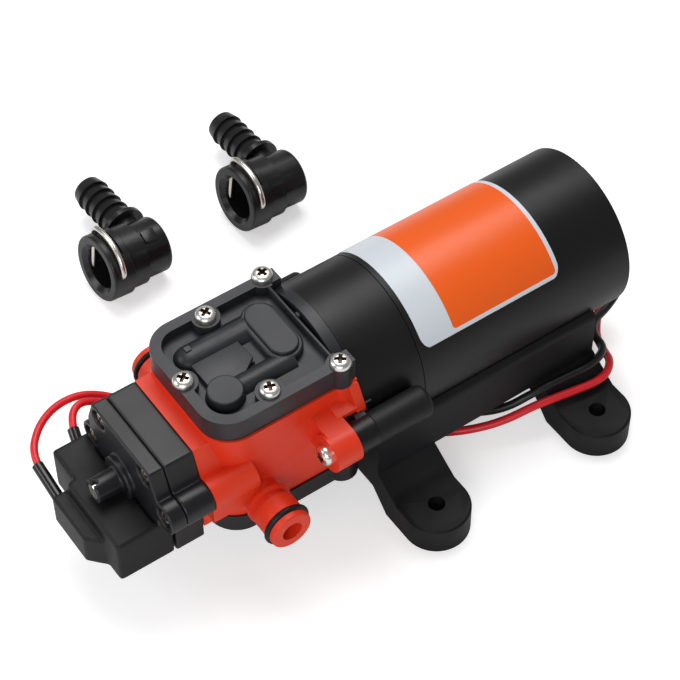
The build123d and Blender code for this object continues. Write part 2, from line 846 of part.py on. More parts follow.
# O-rings on the port tips
with BuildPart() as port_o_rings:
    ring_radius = port_groove_radius + ring_wire_radius + fit_gap
    ring_y = ring_groove_y + ring_groove_width / 2
    with BuildSketch(Plane.YZ.offset(port_x)) as ring_section:
        with Locations((-ring_y, port_z + ring_radius), (ring_y, port_z + ring_radius)):
            Circle(ring_wire_radius)
    revolve(ring_section.sketch, axis=Axis((port_x, 0, port_z), (0, 1, 0)))
finish(port_o_rings.part, "port_o_rings")


def cover_cavity(plane, height, mode=Mode.SUBTRACT):
    """Room under a cover for the valve plate, with the two passages to the ports."""
    extrude(pocket_plan(plane), amount=height, mode=mode)


# Top cover, a dark moulding with a raised rim and domes over the valve passages
dome_plane = Plane.XY.offset(relief_z)
with BuildPart() as top_cover:
    extrude(head_outline(Plane.XY.offset(head_top_z), cover_half_width), amount=cover_thickness)
    with BuildSketch(dome_plane) as relief:
        relief_front = head_front_x + rim_width
        relief_rear = head_rear_x - arch_thickness
        with Locations(((relief_front + relief_rear) / 2, 0)):
            Rectangle(relief_rear - relief_front, 2 * (cover_half_width - rim_width))
        fillet(relief.vertices().group_by(Axis.X)[0], head_corner - rim_width)
        with Locations(*screw_points()):
            Circle(screw_boss_radius, mode=Mode.SUBTRACT)
        with Locations((front_screw_x - screw_boss_radius / 2, 0)):
            Rectangle(screw_boss_radius, 2 * screw_boss_radius, mode=Mode.SUBTRACT)
    extrude(relief.sketch, amount=relief_depth, mode=Mode.SUBTRACT)
    box_between(
        (head_rear_x - arch_thickness, -rear_screw_y + cover_ear_radius, relief_z),
        (head_rear_x, rear_screw_y - cover_ear_radius, cover_top_z),
        Mode.SUBTRACT,
    )
    with BuildSketch(across(head_rear_x)) as arch:
        Circle(head_flange_radius)
        with Locations((0, -head_flange_radius + head_top_z - axis_height)):
            Rectangle(3 * head_flange_radius, 2 * head_flange_radius, mode=Mode.SUBTRACT)
        Rectangle(2 * cover_half_width, 3 * head_flange_radius, mode=Mode.INTERSECT)
    extrude(arch.sketch, amount=-arch_thickness)
    box_between(
        (relief_rear - 1.1, key_y - key_width / 2, relief_z - 0.4),
        (relief_rear + 0.1, key_y + key_width / 2, relief_z + key_height),
    )
    with BuildSketch(dome_plane) as pill:
        with Locations((pill_x, pill_y)):
            SlotCenterToCenter(2 * pill_half_run, 2 * pill_radius, rotation=90)
    extrude(pill.sketch, amount=pill_height)
    fillet(top_cover.faces().filter_by(Plane.XY).filter_by_position(
        Axis.Z, relief_z + pill_height - 0.01, relief_z + pill_height + 0.01).edges(), 0.7)
    with BuildSketch(dome_plane.offset(pill_height)) as pill_cap:
        with Locations((pill_x, pill_y)):
            SlotCenterToCenter(2 * pill_half_run, 2 * pill_cap_radius, rotation=90)
    extrude(pill_cap.sketch, amount=pill_cap_height)
    with BuildSketch(dome_plane) as disc_plan:
        with Locations((disc_x, disc_y)):
            Circle(disc_radius)
    extrude(disc_plan.sketch, amount=disc_height, taper=disc_taper)
    fillet(top_cover.faces().filter_by(Plane.XY).filter_by_position(
        Axis.Z, relief_z + disc_height - 0.01, relief_z + disc_height + 0.01).edges(), 0.5)
    near_drop = near_channel_radius - pill_height
    near_run = across(disc_x, near_channel_y, relief_z - near_drop)
    rod(near_run, near_channel_radius, pill_x - disc_x)
    far_drop = far_channel_radius - pill_height - 0.3
    far_run = across(far_channel_end_x, far_channel_y, relief_z - far_drop)
    rod(far_run, far_channel_radius, pill_x - far_channel_end_x)
    with Locations((far_channel_end_x, far_channel_y, relief_z - far_drop)):
        Sphere(far_channel_radius)
    box_between(
        (far_channel_end_x + 1, -3.4, relief_z),
        (pill_x - pill_radius - 3.4, far_channel_y - 1, relief_z + panel_height),
    )
    mark_z = relief_z - far_drop + far_channel_radius
    with Locations((mark_x, mark_y, mark_z)):
        Box(1.6, 1.6, 0.8)
    box_between(
        (head_front_x, -cover_half_width, head_top_z - 2 * far_channel_radius),
        (head_rear_x, cover_half_width, head_top_z),
        Mode.SUBTRACT,
    )
    cover_cavity(Plane.XY.offset(head_top_z), 1.5)
    channel_top = relief_z - cover_skin
    inlet_room = ((pocket_front_x + 0.4, 3.4), (head_x, pocket_half_width - 0.4))
    box_between(
        (*inlet_room[0], head_top_z), (*inlet_room[1], channel_top), Mode.SUBTRACT
    )
    box_between(
        (head_x - 0.1, -pocket_half_width + 0.4, head_top_z),
        (pocket_rear_x - 0.4, pocket_half_width - 0.4, channel_top),
        Mode.SUBTRACT,
    )
    box_between(
        (pocket_front_x + 0.4, -pocket_half_width + 0.4, head_top_z),
        (head_x - 1.4, 2.0, channel_top),
        Mode.SUBTRACT,
    )
    for side in (-1, 1):
        gallery = sorted((side * (pocket_half_width - 1), side * (gallery_y + gallery_radius)))
        box_between(
            (port_x - gallery_radius, gallery[0], head_top_z),
            (port_x + gallery_radius, gallery[1], channel_top - 0.4),
            Mode.SUBTRACT,
        )
    with BuildSketch(Plane.XY.offset(head_top_z)) as cover_holes:
        with Locations(*screw_points()):
            Circle(screw_hole_radius)
    extrude(cover_holes.sketch, amount=cover_thickness, mode=Mode.SUBTRACT)
finish(top_cover.part, "top_cover")

# Bottom cover, plain outside, with the same room inside
bottom_cover_z = head_bottom_z - cover_thickness
with BuildPart() as bottom_cover:
    plan = head_outline(Plane.XY.offset(bottom_cover_z), bottom_cover_half_width)
    extrude(plan, amount=cover_thickness)
    chamfer(bottom_cover.faces().sort_by(Axis.Z)[0].edges(), 0.8)
    for side in (-1, 1):
        with BuildPart(mode=Mode.PRIVATE) as ear:
            ear_plane = Plane(origin=(rear_screw_x, side * rear_screw_y, bottom_cover_z))
            rod(ear_plane, bottom_ear_radius, cover_thickness)
            chamfer(ear.edges().filter_by(GeomType.CIRCLE).sort_by(Axis.Z)[0], 0.8)
        add(ear.part)
    box_between(
        (head_rear_x, -rear_screw_y - bottom_ear_radius, bottom_cover_z - 1),
        (head_rear_x + bottom_ear_radius, rear_screw_y + bottom_ear_radius, head_bottom_z + 1),
        Mode.SUBTRACT,
    )
    cover_cavity(Plane.XY.offset(head_bottom_z), -cover_thickness + 2.6)
    with BuildSketch(Plane.XY.offset(head_bottom_z)) as bottom_holes:
        with Locations(*screw_points()):
            Circle(screw_hole_radius)
    extrude(bottom_holes.sketch, amount=-cover_thickness, mode=Mode.SUBTRACT)
finish(bottom_cover.part, "bottom_cover")


def pan_screw(plane, head_radius, head_height, shank_radius, reach):
    """A pan-head screw: its head stands up from the plane and its shank goes down from it."""
    rod(plane, shank_radius, -reach)
    with BuildPart(mode=Mode.PRIVATE) as head:
        rod(plane, head_radius, head_height)
        rim = head.edges().filter_by(GeomType.CIRCLE).sort_by(lambda e: plane.to_local_coords(e.center()).Z)
        fillet(rim[-1], head_height * 0.55)
        cross_cut(plane.offset(head_height), drive_arm, drive_width, drive_depth)
    add(head.part)


with BuildPart() as top_cover_screws:
    for x, y in screw_points():
        screw_seat = Plane(origin=(x, y, cover_top_z + fit_gap))
        pan_screw(screw_seat, screw_head_radius, screw_head_height, screw_radius,
                  cover_thickness + screw_reach)
finish(top_cover_screws.part, "top_cover_screws")

with BuildPart() as bottom_cover_screws:
    for x, y in screw_points():
        screw_seat = Plane(origin=(x, y, bottom_cover_z - fit_gap), x_dir=(1, 0, 0), z_dir=(0, 0, -1))
        pan_screw(screw_seat, screw_head_radius, screw_head_height, screw_radius,
                  cover_thickness + screw_reach)
finish(bottom_cover_screws.part, "bottom_cover_screws")

# Upper diaphragm, valve plate and valve flaps; the lower set is their mirror image
diaphragm_z = head_top_z - pocket_depth
plate_z = diaphragm_z + diaphragm_thickness
drive_y = eccentric_offset
with BuildPart() as upper_diaphragm:
    with BuildSketch(Plane.XY.offset(diaphragm_z)) as sheet_plan:
        with Locations(((pocket_front_x + pocket_rear_x) / 2, 0)):
            RectangleRounded(
                pocket_rear_x - pocket_front_x - 2 * seat_gap,
                2 * (pocket_half_width - seat_gap),
                pocket_corner - seat_gap,
            )
        with Locations((head_x, drive_y)):
            Circle(screw_hole_radius, mode=Mode.SUBTRACT)
    extrude(sheet_plan.sketch, amount=diaphragm_thickness)
finish(upper_diaphragm.part, "upper_diaphragm")

with BuildPart() as lower_diaphragm:
    mirror(upper_diaphragm.part, about=mirror_plane)
finish(lower_diaphragm.part, "lower_diaphragm")

roof_z = plate_z + valve_plate_height - valve_roof
with BuildPart() as upper_valve_plate:
    with BuildSketch(Plane.XY.offset(plate_z)) as plate_plan:
        with Locations(((pocket_front_x + pocket_rear_x) / 2, 0)):
            RectangleRounded(
                pocket_rear_x - pocket_front_x - 2 * seat_gap,
                2 * (pocket_half_width - seat_gap),
                pocket_corner - seat_gap,
            )
    extrude(plate_plan.sketch, amount=valve_plate_height)
    rod(Plane(origin=(head_x, 0, plate_z)), chamber_radius, roof_z - plate_z, Mode.SUBTRACT)
    for valve_x, valve_y in ((inlet_flap_x, inlet_flap_y), (outlet_flap_x, outlet_flap_y)):
        valve_plane = Plane(origin=(valve_x, valve_y, roof_z))
        with BuildSketch(valve_plane) as valve_holes:
            Circle(flap_stem_radius + seat_gap)
            with PolarLocations(flap_radius - 0.9, 4):
                Circle(0.45)
        extrude(valve_holes.sketch, amount=valve_roof, mode=Mode.SUBTRACT)
finish(upper_valve_plate.part, "upper_valve_plate")

with BuildPart() as lower_valve_plate:
    mirror(upper_valve_plate.part, about=mirror_plane)
finish(lower_valve_plate.part, "lower_valve_plate")

with BuildPart() as inlet_valves:
    stem_length = valve_roof + 2 * fit_gap + 0.5
    flap_plane = Plane(origin=(inlet_flap_x, inlet_flap_y, roof_z - fit_gap))
    rod(flap_plane, flap_radius, -flap_thickness)
    rod(flap_plane, flap_stem_radius, stem_length)
    mirror(about=mirror_plane)
finish(inlet_valves.part, "inlet_valves")

with BuildPart() as outlet_valves:
    flap_plane = Plane(origin=(outlet_flap_x, outlet_flap_y, roof_z + valve_roof + fit_gap))
    rod(flap_plane, flap_radius, flap_thickness)
    rod(flap_plane, flap_stem_radius, -stem_length)
    mirror(about=mirror_plane)
finish(outlet_valves.part, "outlet_valves")

# Eccentric drive: hub with its journal on the shaft, counterweight, set screw and bearing
journal_x = hub_x - journal_length
bearing_x = head_x - drive_bearing_width / 2
with BuildPart() as eccentric_hub:
    rod(across(hub_x), hub_radius, hub_length)
    rod(across(journal_x, drive_y), journal_radius, journal_length)
    rod(across(hub_x - 0.5), shaft_radius + fit_gap, hub_length + 1, Mode.SUBTRACT)
    screw_hole_plane = Plane(origin=(hub_x + hub_length / 2, 0, axis_height), z_dir=(0, 0, 1))
    rod(screw_hole_plane, lug_screw_radius + fit_gap, hub_radius + 1, Mode.SUBTRACT)
finish(eccentric_hub.part, "eccentric_hub")

with BuildPart() as counterweight:
    weight_x = hub_x
    rod(across(weight_x), counterweight_radius, counterweight_length)
    rod(across(weight_x), hub_radius + fit_gap, counterweight_length, Mode.SUBTRACT)
    box_between(
        (weight_x - 1, -1.2, axis_height - counterweight_radius - 1),
        (weight_x + counterweight_length + 1, counterweight_radius + 1,
         axis_height + counterweight_radius + 1),
        Mode.SUBTRACT,
    )
finish(counterweight.part, "counterweight")

with BuildPart() as hub_set_screw:
    set_screw_plane = Plane(origin=(hub_x + hub_length / 2, 0, axis_height + shaft_radius + fit_gap))
    rod(set_screw_plane, lug_screw_radius, hub_radius - shaft_radius - 0.4)
finish(hub_set_screw.part, "hub_set_screw")

with BuildPart() as drive_bearing:
    rod(across(bearing_x, drive_y), drive_bearing_radius, drive_bearing_width)
    rod(across(bearing_x, drive_y), journal_radius + fit_gap, drive_bearing_width, Mode.SUBTRACT)
    chamfer(drive_bearing.edges().filter_by(GeomType.CIRCLE), 0.2)
finish(drive_bearing.part, "drive_bearing")

# Yoke round the drive bearing, which pushes both diaphragms
platform_z = diaphragm_z - fit_gap
ring_top = drive_bearing_radius + drive_bearing_wall
with BuildPart() as yoke:
    yoke_x = head_x - yoke_thickness / 2
    rod(across(yoke_x, drive_y), ring_top, yoke_thickness)
    rod(Plane(origin=(head_x, drive_y, platform_z)), platform_radius, -1.6)
    box_between(
        (yoke_x, drive_y - 2.6, axis_height),
        (yoke_x + yoke_thickness, drive_y + 2.6, platform_z - 0.4),
    )
    mirror(about=mirror_plane)
    yoke_bore = drive_bearing_radius + 0.06
    rod(across(yoke_x, drive_y), yoke_bore, yoke_thickness, Mode.SUBTRACT)
    for direction in (1, -1):
        tap_plane = Plane(
            origin=(head_x, drive_y, axis_height + direction * (platform_z - axis_height)),
            x_dir=(1, 0, 0),
            z_dir=(0, 0, direction),
        )
        tap_depth = platform_z - axis_height - yoke_bore
        rod(tap_plane, screw_radius + fit_gap, -tap_depth - 0.2, Mode.SUBTRACT)
finish(yoke.part, "yoke")

with BuildPart() as diaphragm_pistons:
    piston_z = plate_z + fit_gap
    rod(Plane(origin=(head_x, drive_y, piston_z)), piston_radius, piston_thickness)
    chamfer(diaphragm_pistons.edges().filter_by(GeomType.CIRCLE), 0.3)
    rod(Plane(origin=(head_x, drive_y, piston_z)), screw_hole_radius, piston_thickness, Mode.SUBTRACT)
    mirror(about=mirror_plane)
finish(diaphragm_pistons.part, "diaphragm_pistons")

with BuildPart() as piston_screws:
    head_z = piston_z + piston_thickness + fit_gap
    shank_reach = head_z - (axis_height + drive_bearing_radius + 0.3)
    head_plane = Plane(origin=(head_x, drive_y, head_z))
    rod(head_plane, piston_screw_head_radius, piston_screw_head_height)
    rod(head_plane, screw_radius, -min(piston_screw_length, shank_reach))
    mirror(about=mirror_plane)
finish(piston_screws.part, "piston_screws")

# Screws, nuts and rubber caps at the lugs
with BuildPart() as lug_screws:
    for side in (-1, 1):
        head_plane = Plane(
            origin=(lug_front_x - fit_gap, side * lug_y, lug_z(side)), x_dir=(0, 1, 0), z_dir=(-1, 0, 0)
        )
        reach = ear_rear_x - lug_front_x + nut_height + 3.0
        pan_screw(head_plane, lug_head_radius, lug_head_height, lug_screw_radius, reach)
finish(lug_screws.part, "lug_screws")

with BuildPart() as lug_nuts:
    for side in (-1, 1):
        with BuildSketch(across(ear_rear_x + fit_gap, side * lug_y, lug_z(side))) as hexagon:
            RegularPolygon(nut_width / 2, 6, major_radius=False)
            Circle(lug_screw_radius + fit_gap, mode=Mode.SUBTRACT)
        extrude(hexagon.sketch, amount=nut_height)
finish(lug_nuts.part, "lug_nuts")

with BuildPart() as screw_caps:
    cap_x = ear_rear_x + seat_gap
    for side in (-1, 1):
        with BuildPart(mode=Mode.PRIVATE) as cap:
            cap_plane = across(cap_x, side * lug_y, lug_z(side))
            rod(cap_plane, cap_radius, cap_length)
            round_edge = cap.edges().filter_by(GeomType.CIRCLE).sort_by(Axis.X)[-1]
            fillet(round_edge, cap_edge)
            nut_room = nut_width / 2 / math.cos(math.radians(30)) + skin_gap
            rod(cap_plane, nut_room, nut_height + skin_gap, Mode.SUBTRACT)
            rod(cap_plane, lug_screw_radius + skin_gap, cap_shank_depth, Mode.SUBTRACT)
        add(cap.part)
finish(screw_caps.part, "screw_caps")


# Switch manifold, the rear layer of the switch flange
with BuildPart() as switch_manifold:
    outline = switch_flange_outline(across(manifold_rear_x, 0, 0), flange_bottom_z, flange_side_half_width)
    extrude(outline, amount=manifold_front_x - manifold_rear_x)
    chamfer(switch_manifold.edges().filter_by(Axis.X).sort_by(Axis.Z)[:2], 0.8)
    rod(across(manifold_rear_x, 0, turret_z), gallery_radius, manifold_front_x - manifold_rear_x,
        Mode.SUBTRACT)
    rod(across(manifold_front_x, 0, turret_z), switch_diaphragm_radius + seat_gap,
        switch_diaphragm_thickness + seat_gap, Mode.SUBTRACT)
    with BuildSketch(across(manifold_rear_x, 0, 0)) as manifold_holes:
        with Locations(*switch_points):
            Circle(screw_hole_radius)
    extrude(manifold_holes.sketch, amount=manifold_front_x - manifold_rear_x, mode=Mode.SUBTRACT)
finish(switch_manifold.part, "switch_manifold")

with BuildPart() as switch_diaphragm:
    rod(across(manifold_front_x, 0, turret_z), switch_diaphragm_radius, switch_diaphragm_thickness)
finish(switch_diaphragm.part, "switch_diaphragm")

# Switch housing, the front layer, with the turret and the adjusting boss
housing_rear_x = manifold_front_x - seat_gap
tongue_half_width = -cover_box_near_y - cover_box_wall - seat_gap
plate_bottom_z = cover_box_top_z + seat_gap
piston_rear_x = manifold_front_x - 2 * seat_gap
finger_bottom_z = plunger_z - finger_height / 2
with BuildPart() as switch_housing:
    outline = switch_flange_outline(across(housing_rear_x, 0, 0), plate_bottom_z, flange_side_half_width)
    extrude(outline, amount=housing_front_x - housing_rear_x)
    box_between(
        (housing_front_x - 1, near_ear_y - near_ear_radius, flange_bottom_z),
        (housing_rear_x + 1, far_ear_y + far_ear_radius + 1, plate_bottom_z),
        Mode.SUBTRACT,
    )
    box_between(
        (housing_front_x, -tongue_half_width, cover_box_bottom_z + cover_box_wall + seat_gap),
        (housing_rear_x, tongue_half_width, plate_bottom_z + 1),
    )
    ring_plane = across(housing_front_x, 0, turret_z)
    rod(ring_plane, turret_ring_radius, -turret_ring_height)
    box_between(
        (housing_front_x - turret_ring_height - 1, -turret_ring_radius - 1, turret_z - turret_ring_radius - 1),
        (housing_front_x, turret_ring_radius + 1, plate_bottom_z),
        Mode.SUBTRACT,
    )
    rod(ring_plane, boss_radius, boss_front_x - housing_front_x)
    rod(across(housing_rear_x, 0, turret_z), cavity_radius, cavity_front_x - housing_rear_x, Mode.SUBTRACT)
    rod(across(housing_rear_x, 0, turret_z), boss_bore_radius, boss_front_x - housing_rear_x, Mode.SUBTRACT)
    box_between(
        (boss_front_x - 1, -notch_width / 2, turret_z),
        (boss_front_x + notch_depth, notch_width / 2, turret_z + boss_radius + 1),
        Mode.SUBTRACT,
    )
    box_between(
        (housing_front_x - 1, -arm_half_width - arm_slot_gap, finger_bottom_z - arm_slot_gap - 0.3),
        (housing_rear_x, arm_half_width + arm_slot_gap, turret_z),
        Mode.SUBTRACT,
    )
    with BuildSketch(across(housing_rear_x, 0, 0)) as housing_holes:
        with Locations(*switch_points):
            Circle(screw_hole_radius)
    extrude(housing_holes.sketch, amount=housing_front_x - housing_rear_x, mode=Mode.SUBTRACT)
    with BuildSketch(across(housing_front_x, 0, 0)) as recesses:
        with Locations(*switch_points):
            Circle(recess_radius)
    extrude(recesses.sketch, amount=recess_depth, mode=Mode.SUBTRACT)
finish(switch_housing.part, "switch_housing")

with BuildPart() as switch_screws:
    for y, z in switch_points:
        recess_plane = Plane(
            origin=(housing_front_x + recess_depth - fit_gap, y, z), x_dir=(0, 1, 0), z_dir=(-1, 0, 0)
        )
        reach = neck_front_x + 5.0 - housing_front_x - recess_depth
        pan_screw(recess_plane, switch_head_radius, switch_head_height, screw_radius, reach)
finish(switch_screws.part, "switch_screws")

# Piston of the switch, with the arm and finger that reach down to the microswitch
micro_rear_x = micro_front_x + micro_depth
finger_front_x = micro_rear_x + plunger_reach + fit_gap
with BuildPart() as switch_piston:
    rod(across(piston_rear_x, 0, turret_z), piston_disc_radius, -piston_disc_length)
    rod(across(piston_rear_x, 0, turret_z), piston_stem_radius, -piston_disc_length - piston_stem_length)
    arm_front_x = piston_rear_x - arm_thickness
    box_between(
        (arm_front_x, -arm_half_width, finger_bottom_z),
        (piston_rear_x, arm_half_width, turret_z - 3.0),
    )
    box_between(
        (finger_front_x, -arm_half_width, finger_bottom_z),
        (arm_front_x + 0.2, arm_half_width, finger_bottom_z + finger_height),
    )
finish(switch_piston.part, "switch_piston")

# Pressure spring, a close coil between the piston and its seat
with BuildPart() as pressure_spring:
    spring_radius = spring_outer_radius - spring_wire_radius
    spring_length = spring_start_x - spring_end_x
    coil = Helix(
        pitch=(spring_length - 2 * spring_wire_radius) / spring_turns,
        height=spring_length - 2 * spring_wire_radius,
        radius=spring_radius,
        center=(spring_start_x - spring_wire_radius, 0, turret_z),
        direction=(-1, 0, 0),
    )
    with BuildSketch(Plane(origin=coil @ 0, z_dir=coil % 0)) as wire_face:
        Circle(spring_wire_radius)
    sweep(wire_face.sketch, path=coil)
finish(pressure_spring.part, "pressure_spring")

seat_x = spring_end_x - seat_gap
with BuildPart() as spring_seat:
    rod(across(seat_x, 0, turret_z), boss_bore_radius - 0.05, -seat_thickness)
finish(spring_seat.part, "spring_seat")

set_screw_x = seat_x - seat_thickness - fit_gap
with BuildPart() as adjusting_screw:
    rod(across(set_screw_x, 0, turret_z), boss_bore_radius - 0.05, -set_screw_length)
    slot_plane = Plane(
        origin=(set_screw_x - set_screw_length, 0, turret_z), x_dir=(0, 1, 0), z_dir=(-1, 0, 0)
    )
    cross_cut(slot_plane, 3.4, set_screw_slot, 1.1)
finish(adjusting_screw.part, "adjusting_screw")

# Microswitch and its plunger
with BuildPart() as microswitch_body:
    box_between(
        (micro_front_x, micro_near_y, micro_bottom_z),
        (micro_rear_x, micro_near_y + micro_length, micro_bottom_z + micro_height),
    )
    chamfer(microswitch_body.edges().filter_by(Axis.X), 0.4)
    plunger_hole = across(micro_rear_x, 0, plunger_z)
    rod(plunger_hole, plunger_radius + 0.05, -plunger_length, Mode.SUBTRACT)
finish(microswitch_body.part, "microswitch_body")

with BuildPart() as microswitch_button:
    rod(across(micro_rear_x + plunger_reach, 0, plunger_z), plunger_radius,
        -(plunger_length + plunger_reach - switch_travel - body_gap))
    fillet(microswitch_button.edges().filter_by(GeomType.CIRCLE).sort_by(Axis.X)[-1], 0.4)
finish(microswitch_button.part, "microswitch_button")

# Soft cover over the microswitch, with a nose in front
with BuildPart() as switch_cover:
    def cover_plan(plane, inset):
        with BuildSketch(plane) as plan:
            with BuildLine():
                Polyline(
                    (cover_box_front_x + inset, cover_box_near_y + inset),
                    (cover_box_rear_x, cover_box_near_y + inset),
                    (cover_box_rear_x, cover_box_far_y - inset),
                    (cover_box_step_x + inset, cover_box_far_y - inset),
                    (cover_box_step_x + inset, cover_box_step_y - inset),
                    (cover_box_front_x + inset, cover_box_step_y - inset),
                    close=True,
                )
            make_face()
        return plan.sketch

    def nose_plan(plane, inset):
        with BuildSketch(plane) as plan:
            with BuildLine():
                Polyline(
                    (nose_front_x + inset, nose_near_y + nose_chamfer + inset / 2),
                    (cover_box_front_x + 0.6 * inset, nose_near_y + inset),
                    (cover_box_front_x + 3 * inset + 1, nose_near_y + inset),
                    (cover_box_front_x + 3 * inset + 1, nose_far_y - inset),
                    (nose_front_x + inset, nose_far_y - inset),
                    close=True,
                )
            make_face()
        return plan.sketch

    base_plane = Plane.XY.offset(cover_box_bottom_z)
    extrude(cover_plan(base_plane, 0), amount=cover_box_top_z - cover_box_bottom_z)
    fillet(switch_cover.edges().filter_by(Axis.Z).group_by(Axis.X)[0], cover_box_edge)
    extrude(nose_plan(base_plane, 0), amount=nose_top_z - cover_box_bottom_z)
    top_edges = switch_cover.faces().sort_by(Axis.Z)[-1].edges()
    fillet(top_edges.sort_by(Axis.X)[:-1], 0.8)
    inner_plane = Plane.XY.offset(cover_box_bottom_z + cover_box_wall)
    inner_height = cover_box_top_z - cover_box_bottom_z - 2 * cover_box_wall
    extrude(cover_plan(inner_plane, cover_box_wall), amount=inner_height, mode=Mode.SUBTRACT)
    nose_height = nose_top_z - cover_box_bottom_z - 2 * cover_box_wall
    extrude(nose_plan(inner_plane, cover_box_wall), amount=nose_height, mode=Mode.SUBTRACT)
    box_between(
        (housing_front_x - seat_gap, -tongue_half_width - seat_gap, cover_box_top_z - 2 * cover_box_wall),
        (cover_box_rear_x + 1, tongue_half_width + seat_gap, cover_box_top_z + 1),
        Mode.SUBTRACT,
    )
finish(switch_cover.part, "switch_cover")


def corner_radii(points):
    """The largest smooth arc at each corner of a route, from its shorter run and its turn."""
    radii = []
    for before, corner, after in zip(points, points[1:], points[2:]):
        run_in = Vector(*corner) - Vector(*before)
        run_out = Vector(*after) - Vector(*corner)
        turn = math.radians(run_in.get_angle(run_out))
        radii.append(0.45 * min(run_in.length, run_out.length) / math.tan(turn / 2))
    return radii


def tube(name, points, radius):
    """A round wire along straight runs joined by tangent arcs; prints how well it came out."""
    radii = corner_radii(points)
    with BuildLine() as route:
        FilletPolyline(*points, radius=radii)
    path = route.wire()
    with BuildSketch(Plane(origin=path @ 0, z_dir=path % 0)) as section:
        Circle(radius)
    sweep(section.sketch, path=path)
    swept = math.pi * radius**2 * path.length
    print(f"{name}: length {path.length:.1f} mm, expected volume {swept:.0f}")
    print(f"{name} arcs: {[round(r, 1) for r in radii]}")


# Shrink sleeves on the two switch terminals
sleeve_a_start = (shrink_a_x, nose_far_y - 0.4, axis_height - shrink_a_drop)
sleeve_a_end = (shrink_a_x + 0.1, nose_far_y + shrink_a_reach, sleeve_a_start[2] + shrink_a_lift)
sleeve_b_start = (shrink_b_x, cover_box_far_y - 0.4, axis_height - shrink_b_drop)
sleeve_b_end = (shrink_b_x + 1.5, cover_box_far_y + shrink_b_reach, sleeve_b_start[2] + shrink_b_lift)


def along(low, high, share):
    """A point on the line from one end of a sleeve to the other, or past its end."""
    return tuple(a + share * (b - a) for a, b in zip(low, high))


with BuildPart() as terminal_sleeves:
    for low, high in ((sleeve_a_start, sleeve_a_end), (sleeve_b_start, sleeve_b_end)):
        direction = Vector(*high) - Vector(*low)
        rod(Plane(origin=low, z_dir=direction), shrink_radius, direction.length)
        wire_hole = Plane(origin=high, z_dir=direction)
        rod(wire_hole, wire_radius + fit_gap, -0.85 * direction.length, Mode.SUBTRACT)
    box_between(
        (nose_front_x - 1, 0, cover_box_bottom_z),
        (cover_box_rear_x, nose_far_y + fit_gap, cover_box_top_z),
        Mode.SUBTRACT,
    )
    box_between(
        (cover_box_step_x, 0, cover_box_bottom_z),
        (cover_box_rear_x, cover_box_far_y + fit_gap, cover_box_top_z),
        Mode.SUBTRACT,
    )
finish(terminal_sleeves.part, "terminal_sleeves")

# Two red wires from the switch to the motor: under the far port and the far lug, along the
# side of the saddle, and round the rear end. Points give x, y and the height over the axis.
side_y = saddle_half_width + wire_radius + skin_gap
wire_a_points = [
    (-109.9, 32.2, -9.3),
    (-101.6, 36.6, -10.3),
    (-92.4, 36.6, -11.9),
    (-83.2, 31.4, -16.5),
    (-74.2, 27.0, -19.9),
    (-62.0, 26.3, -18.9),
    (-46.0, side_y + 0.1, -16.3),
    (-22.0, side_y, -16.1),
    (8.0, side_y + 0.1, -16.2),
    (30.0, side_y, -15.9),
    (42.0, 26.0, -12.5),
    (53.2, 25.4, -6.1),
    (58.2, 20.7, -5.4),
    (58.3, 14.0, -5.2),
    (53.6, 9.5, -5.3),
    (end_cap_rear_x + fit_gap, 9.4, -5.3),
]
wire_b_points = [
    (-97.0, 32.4, -8.3),
    (-91.0, 31.0, -11.1),
    (-83.0, 26.8, -16.3),
    (-73.0, 24.2, -18.6),
    (-61.0, 25.6, -16.1),
    (-46.0, side_y + 0.1, -13.8),
    (-20.0, side_y, -13.6),
    (10.0, side_y + 0.1, -13.7),
    (31.0, side_y, -13.4),
    (40.6, 26.0, -9.5),
    (50.2, 25.4, -3.5),
    (57.0, 20.4, -1.9),
    (58.4, 12.8, -2.1),
    (54.6, 4.7, -3.1),
    (end_cap_rear_x + fit_gap, 4.6, -3.1),
]
wire_a_route = [along(sleeve_a_start, sleeve_a_end, 0.75), along(sleeve_a_start, sleeve_a_end, 1.25)]
wire_a_route += [(x, y, axis_height + rise) for x, y, rise in wire_a_points]
wire_b_route = [along(sleeve_b_start, sleeve_b_end, 0.5), along(sleeve_b_start, sleeve_b_end, 1.45)]
wire_b_route += [(x, y, axis_height + rise) for x, y, rise in wire_b_points]
with BuildPart() as switch_wire_a:
    tube("switch_wire_a", wire_a_route, wire_radius)
finish(switch_wire_a.part, "switch_wire_a")

with BuildPart() as switch_wire_b:
    tube("switch_wire_b", wire_b_route, wire_radius)
finish(switch_wire_b.part, "switch_wire_b")

# Supply leads: out of the rear end, down behind the saddle, round its rear near corner,
# forward over the foot, and under the motor to the far side
near_side = -saddle_half_width
red_exit_y = -3.5
red_exit_z = axis_height - lead_exit_drop
red_route = [
    (end_cap_rear_x + fit_gap, red_exit_y, red_exit_z),
    (53.4, red_exit_y, red_exit_z),
    (57.6, -4.0, 16.8),
    (57.2, -5.6, 9.8),
    (52.4, -9.8, 5.8),
    (47.0, -15.8, 5.6),
    (44.0, -22.6, 8.0),
    (41.0, near_side - 4.4, 11.6),
    (34.6, near_side - 8.4, 12.3),
    (23.2, near_side - 6.5, 12.4),
    (13.6, near_side - 4.8, 12.5),
    (3.4, near_side - 2.0, 9.0),
    (-5.4, -22.6, 7.0),
    (-12.4, -16.6, 4.6),
    (-15.2, -4.0, 1.5),
    (-14.6, 10.0, 1.35),
    (-11.0, 23.0, 1.25),
    (-12.4, 36.0, 1.25),
]
black_exit_y = -8.6
black_exit_z = red_exit_z + lead_exit_step
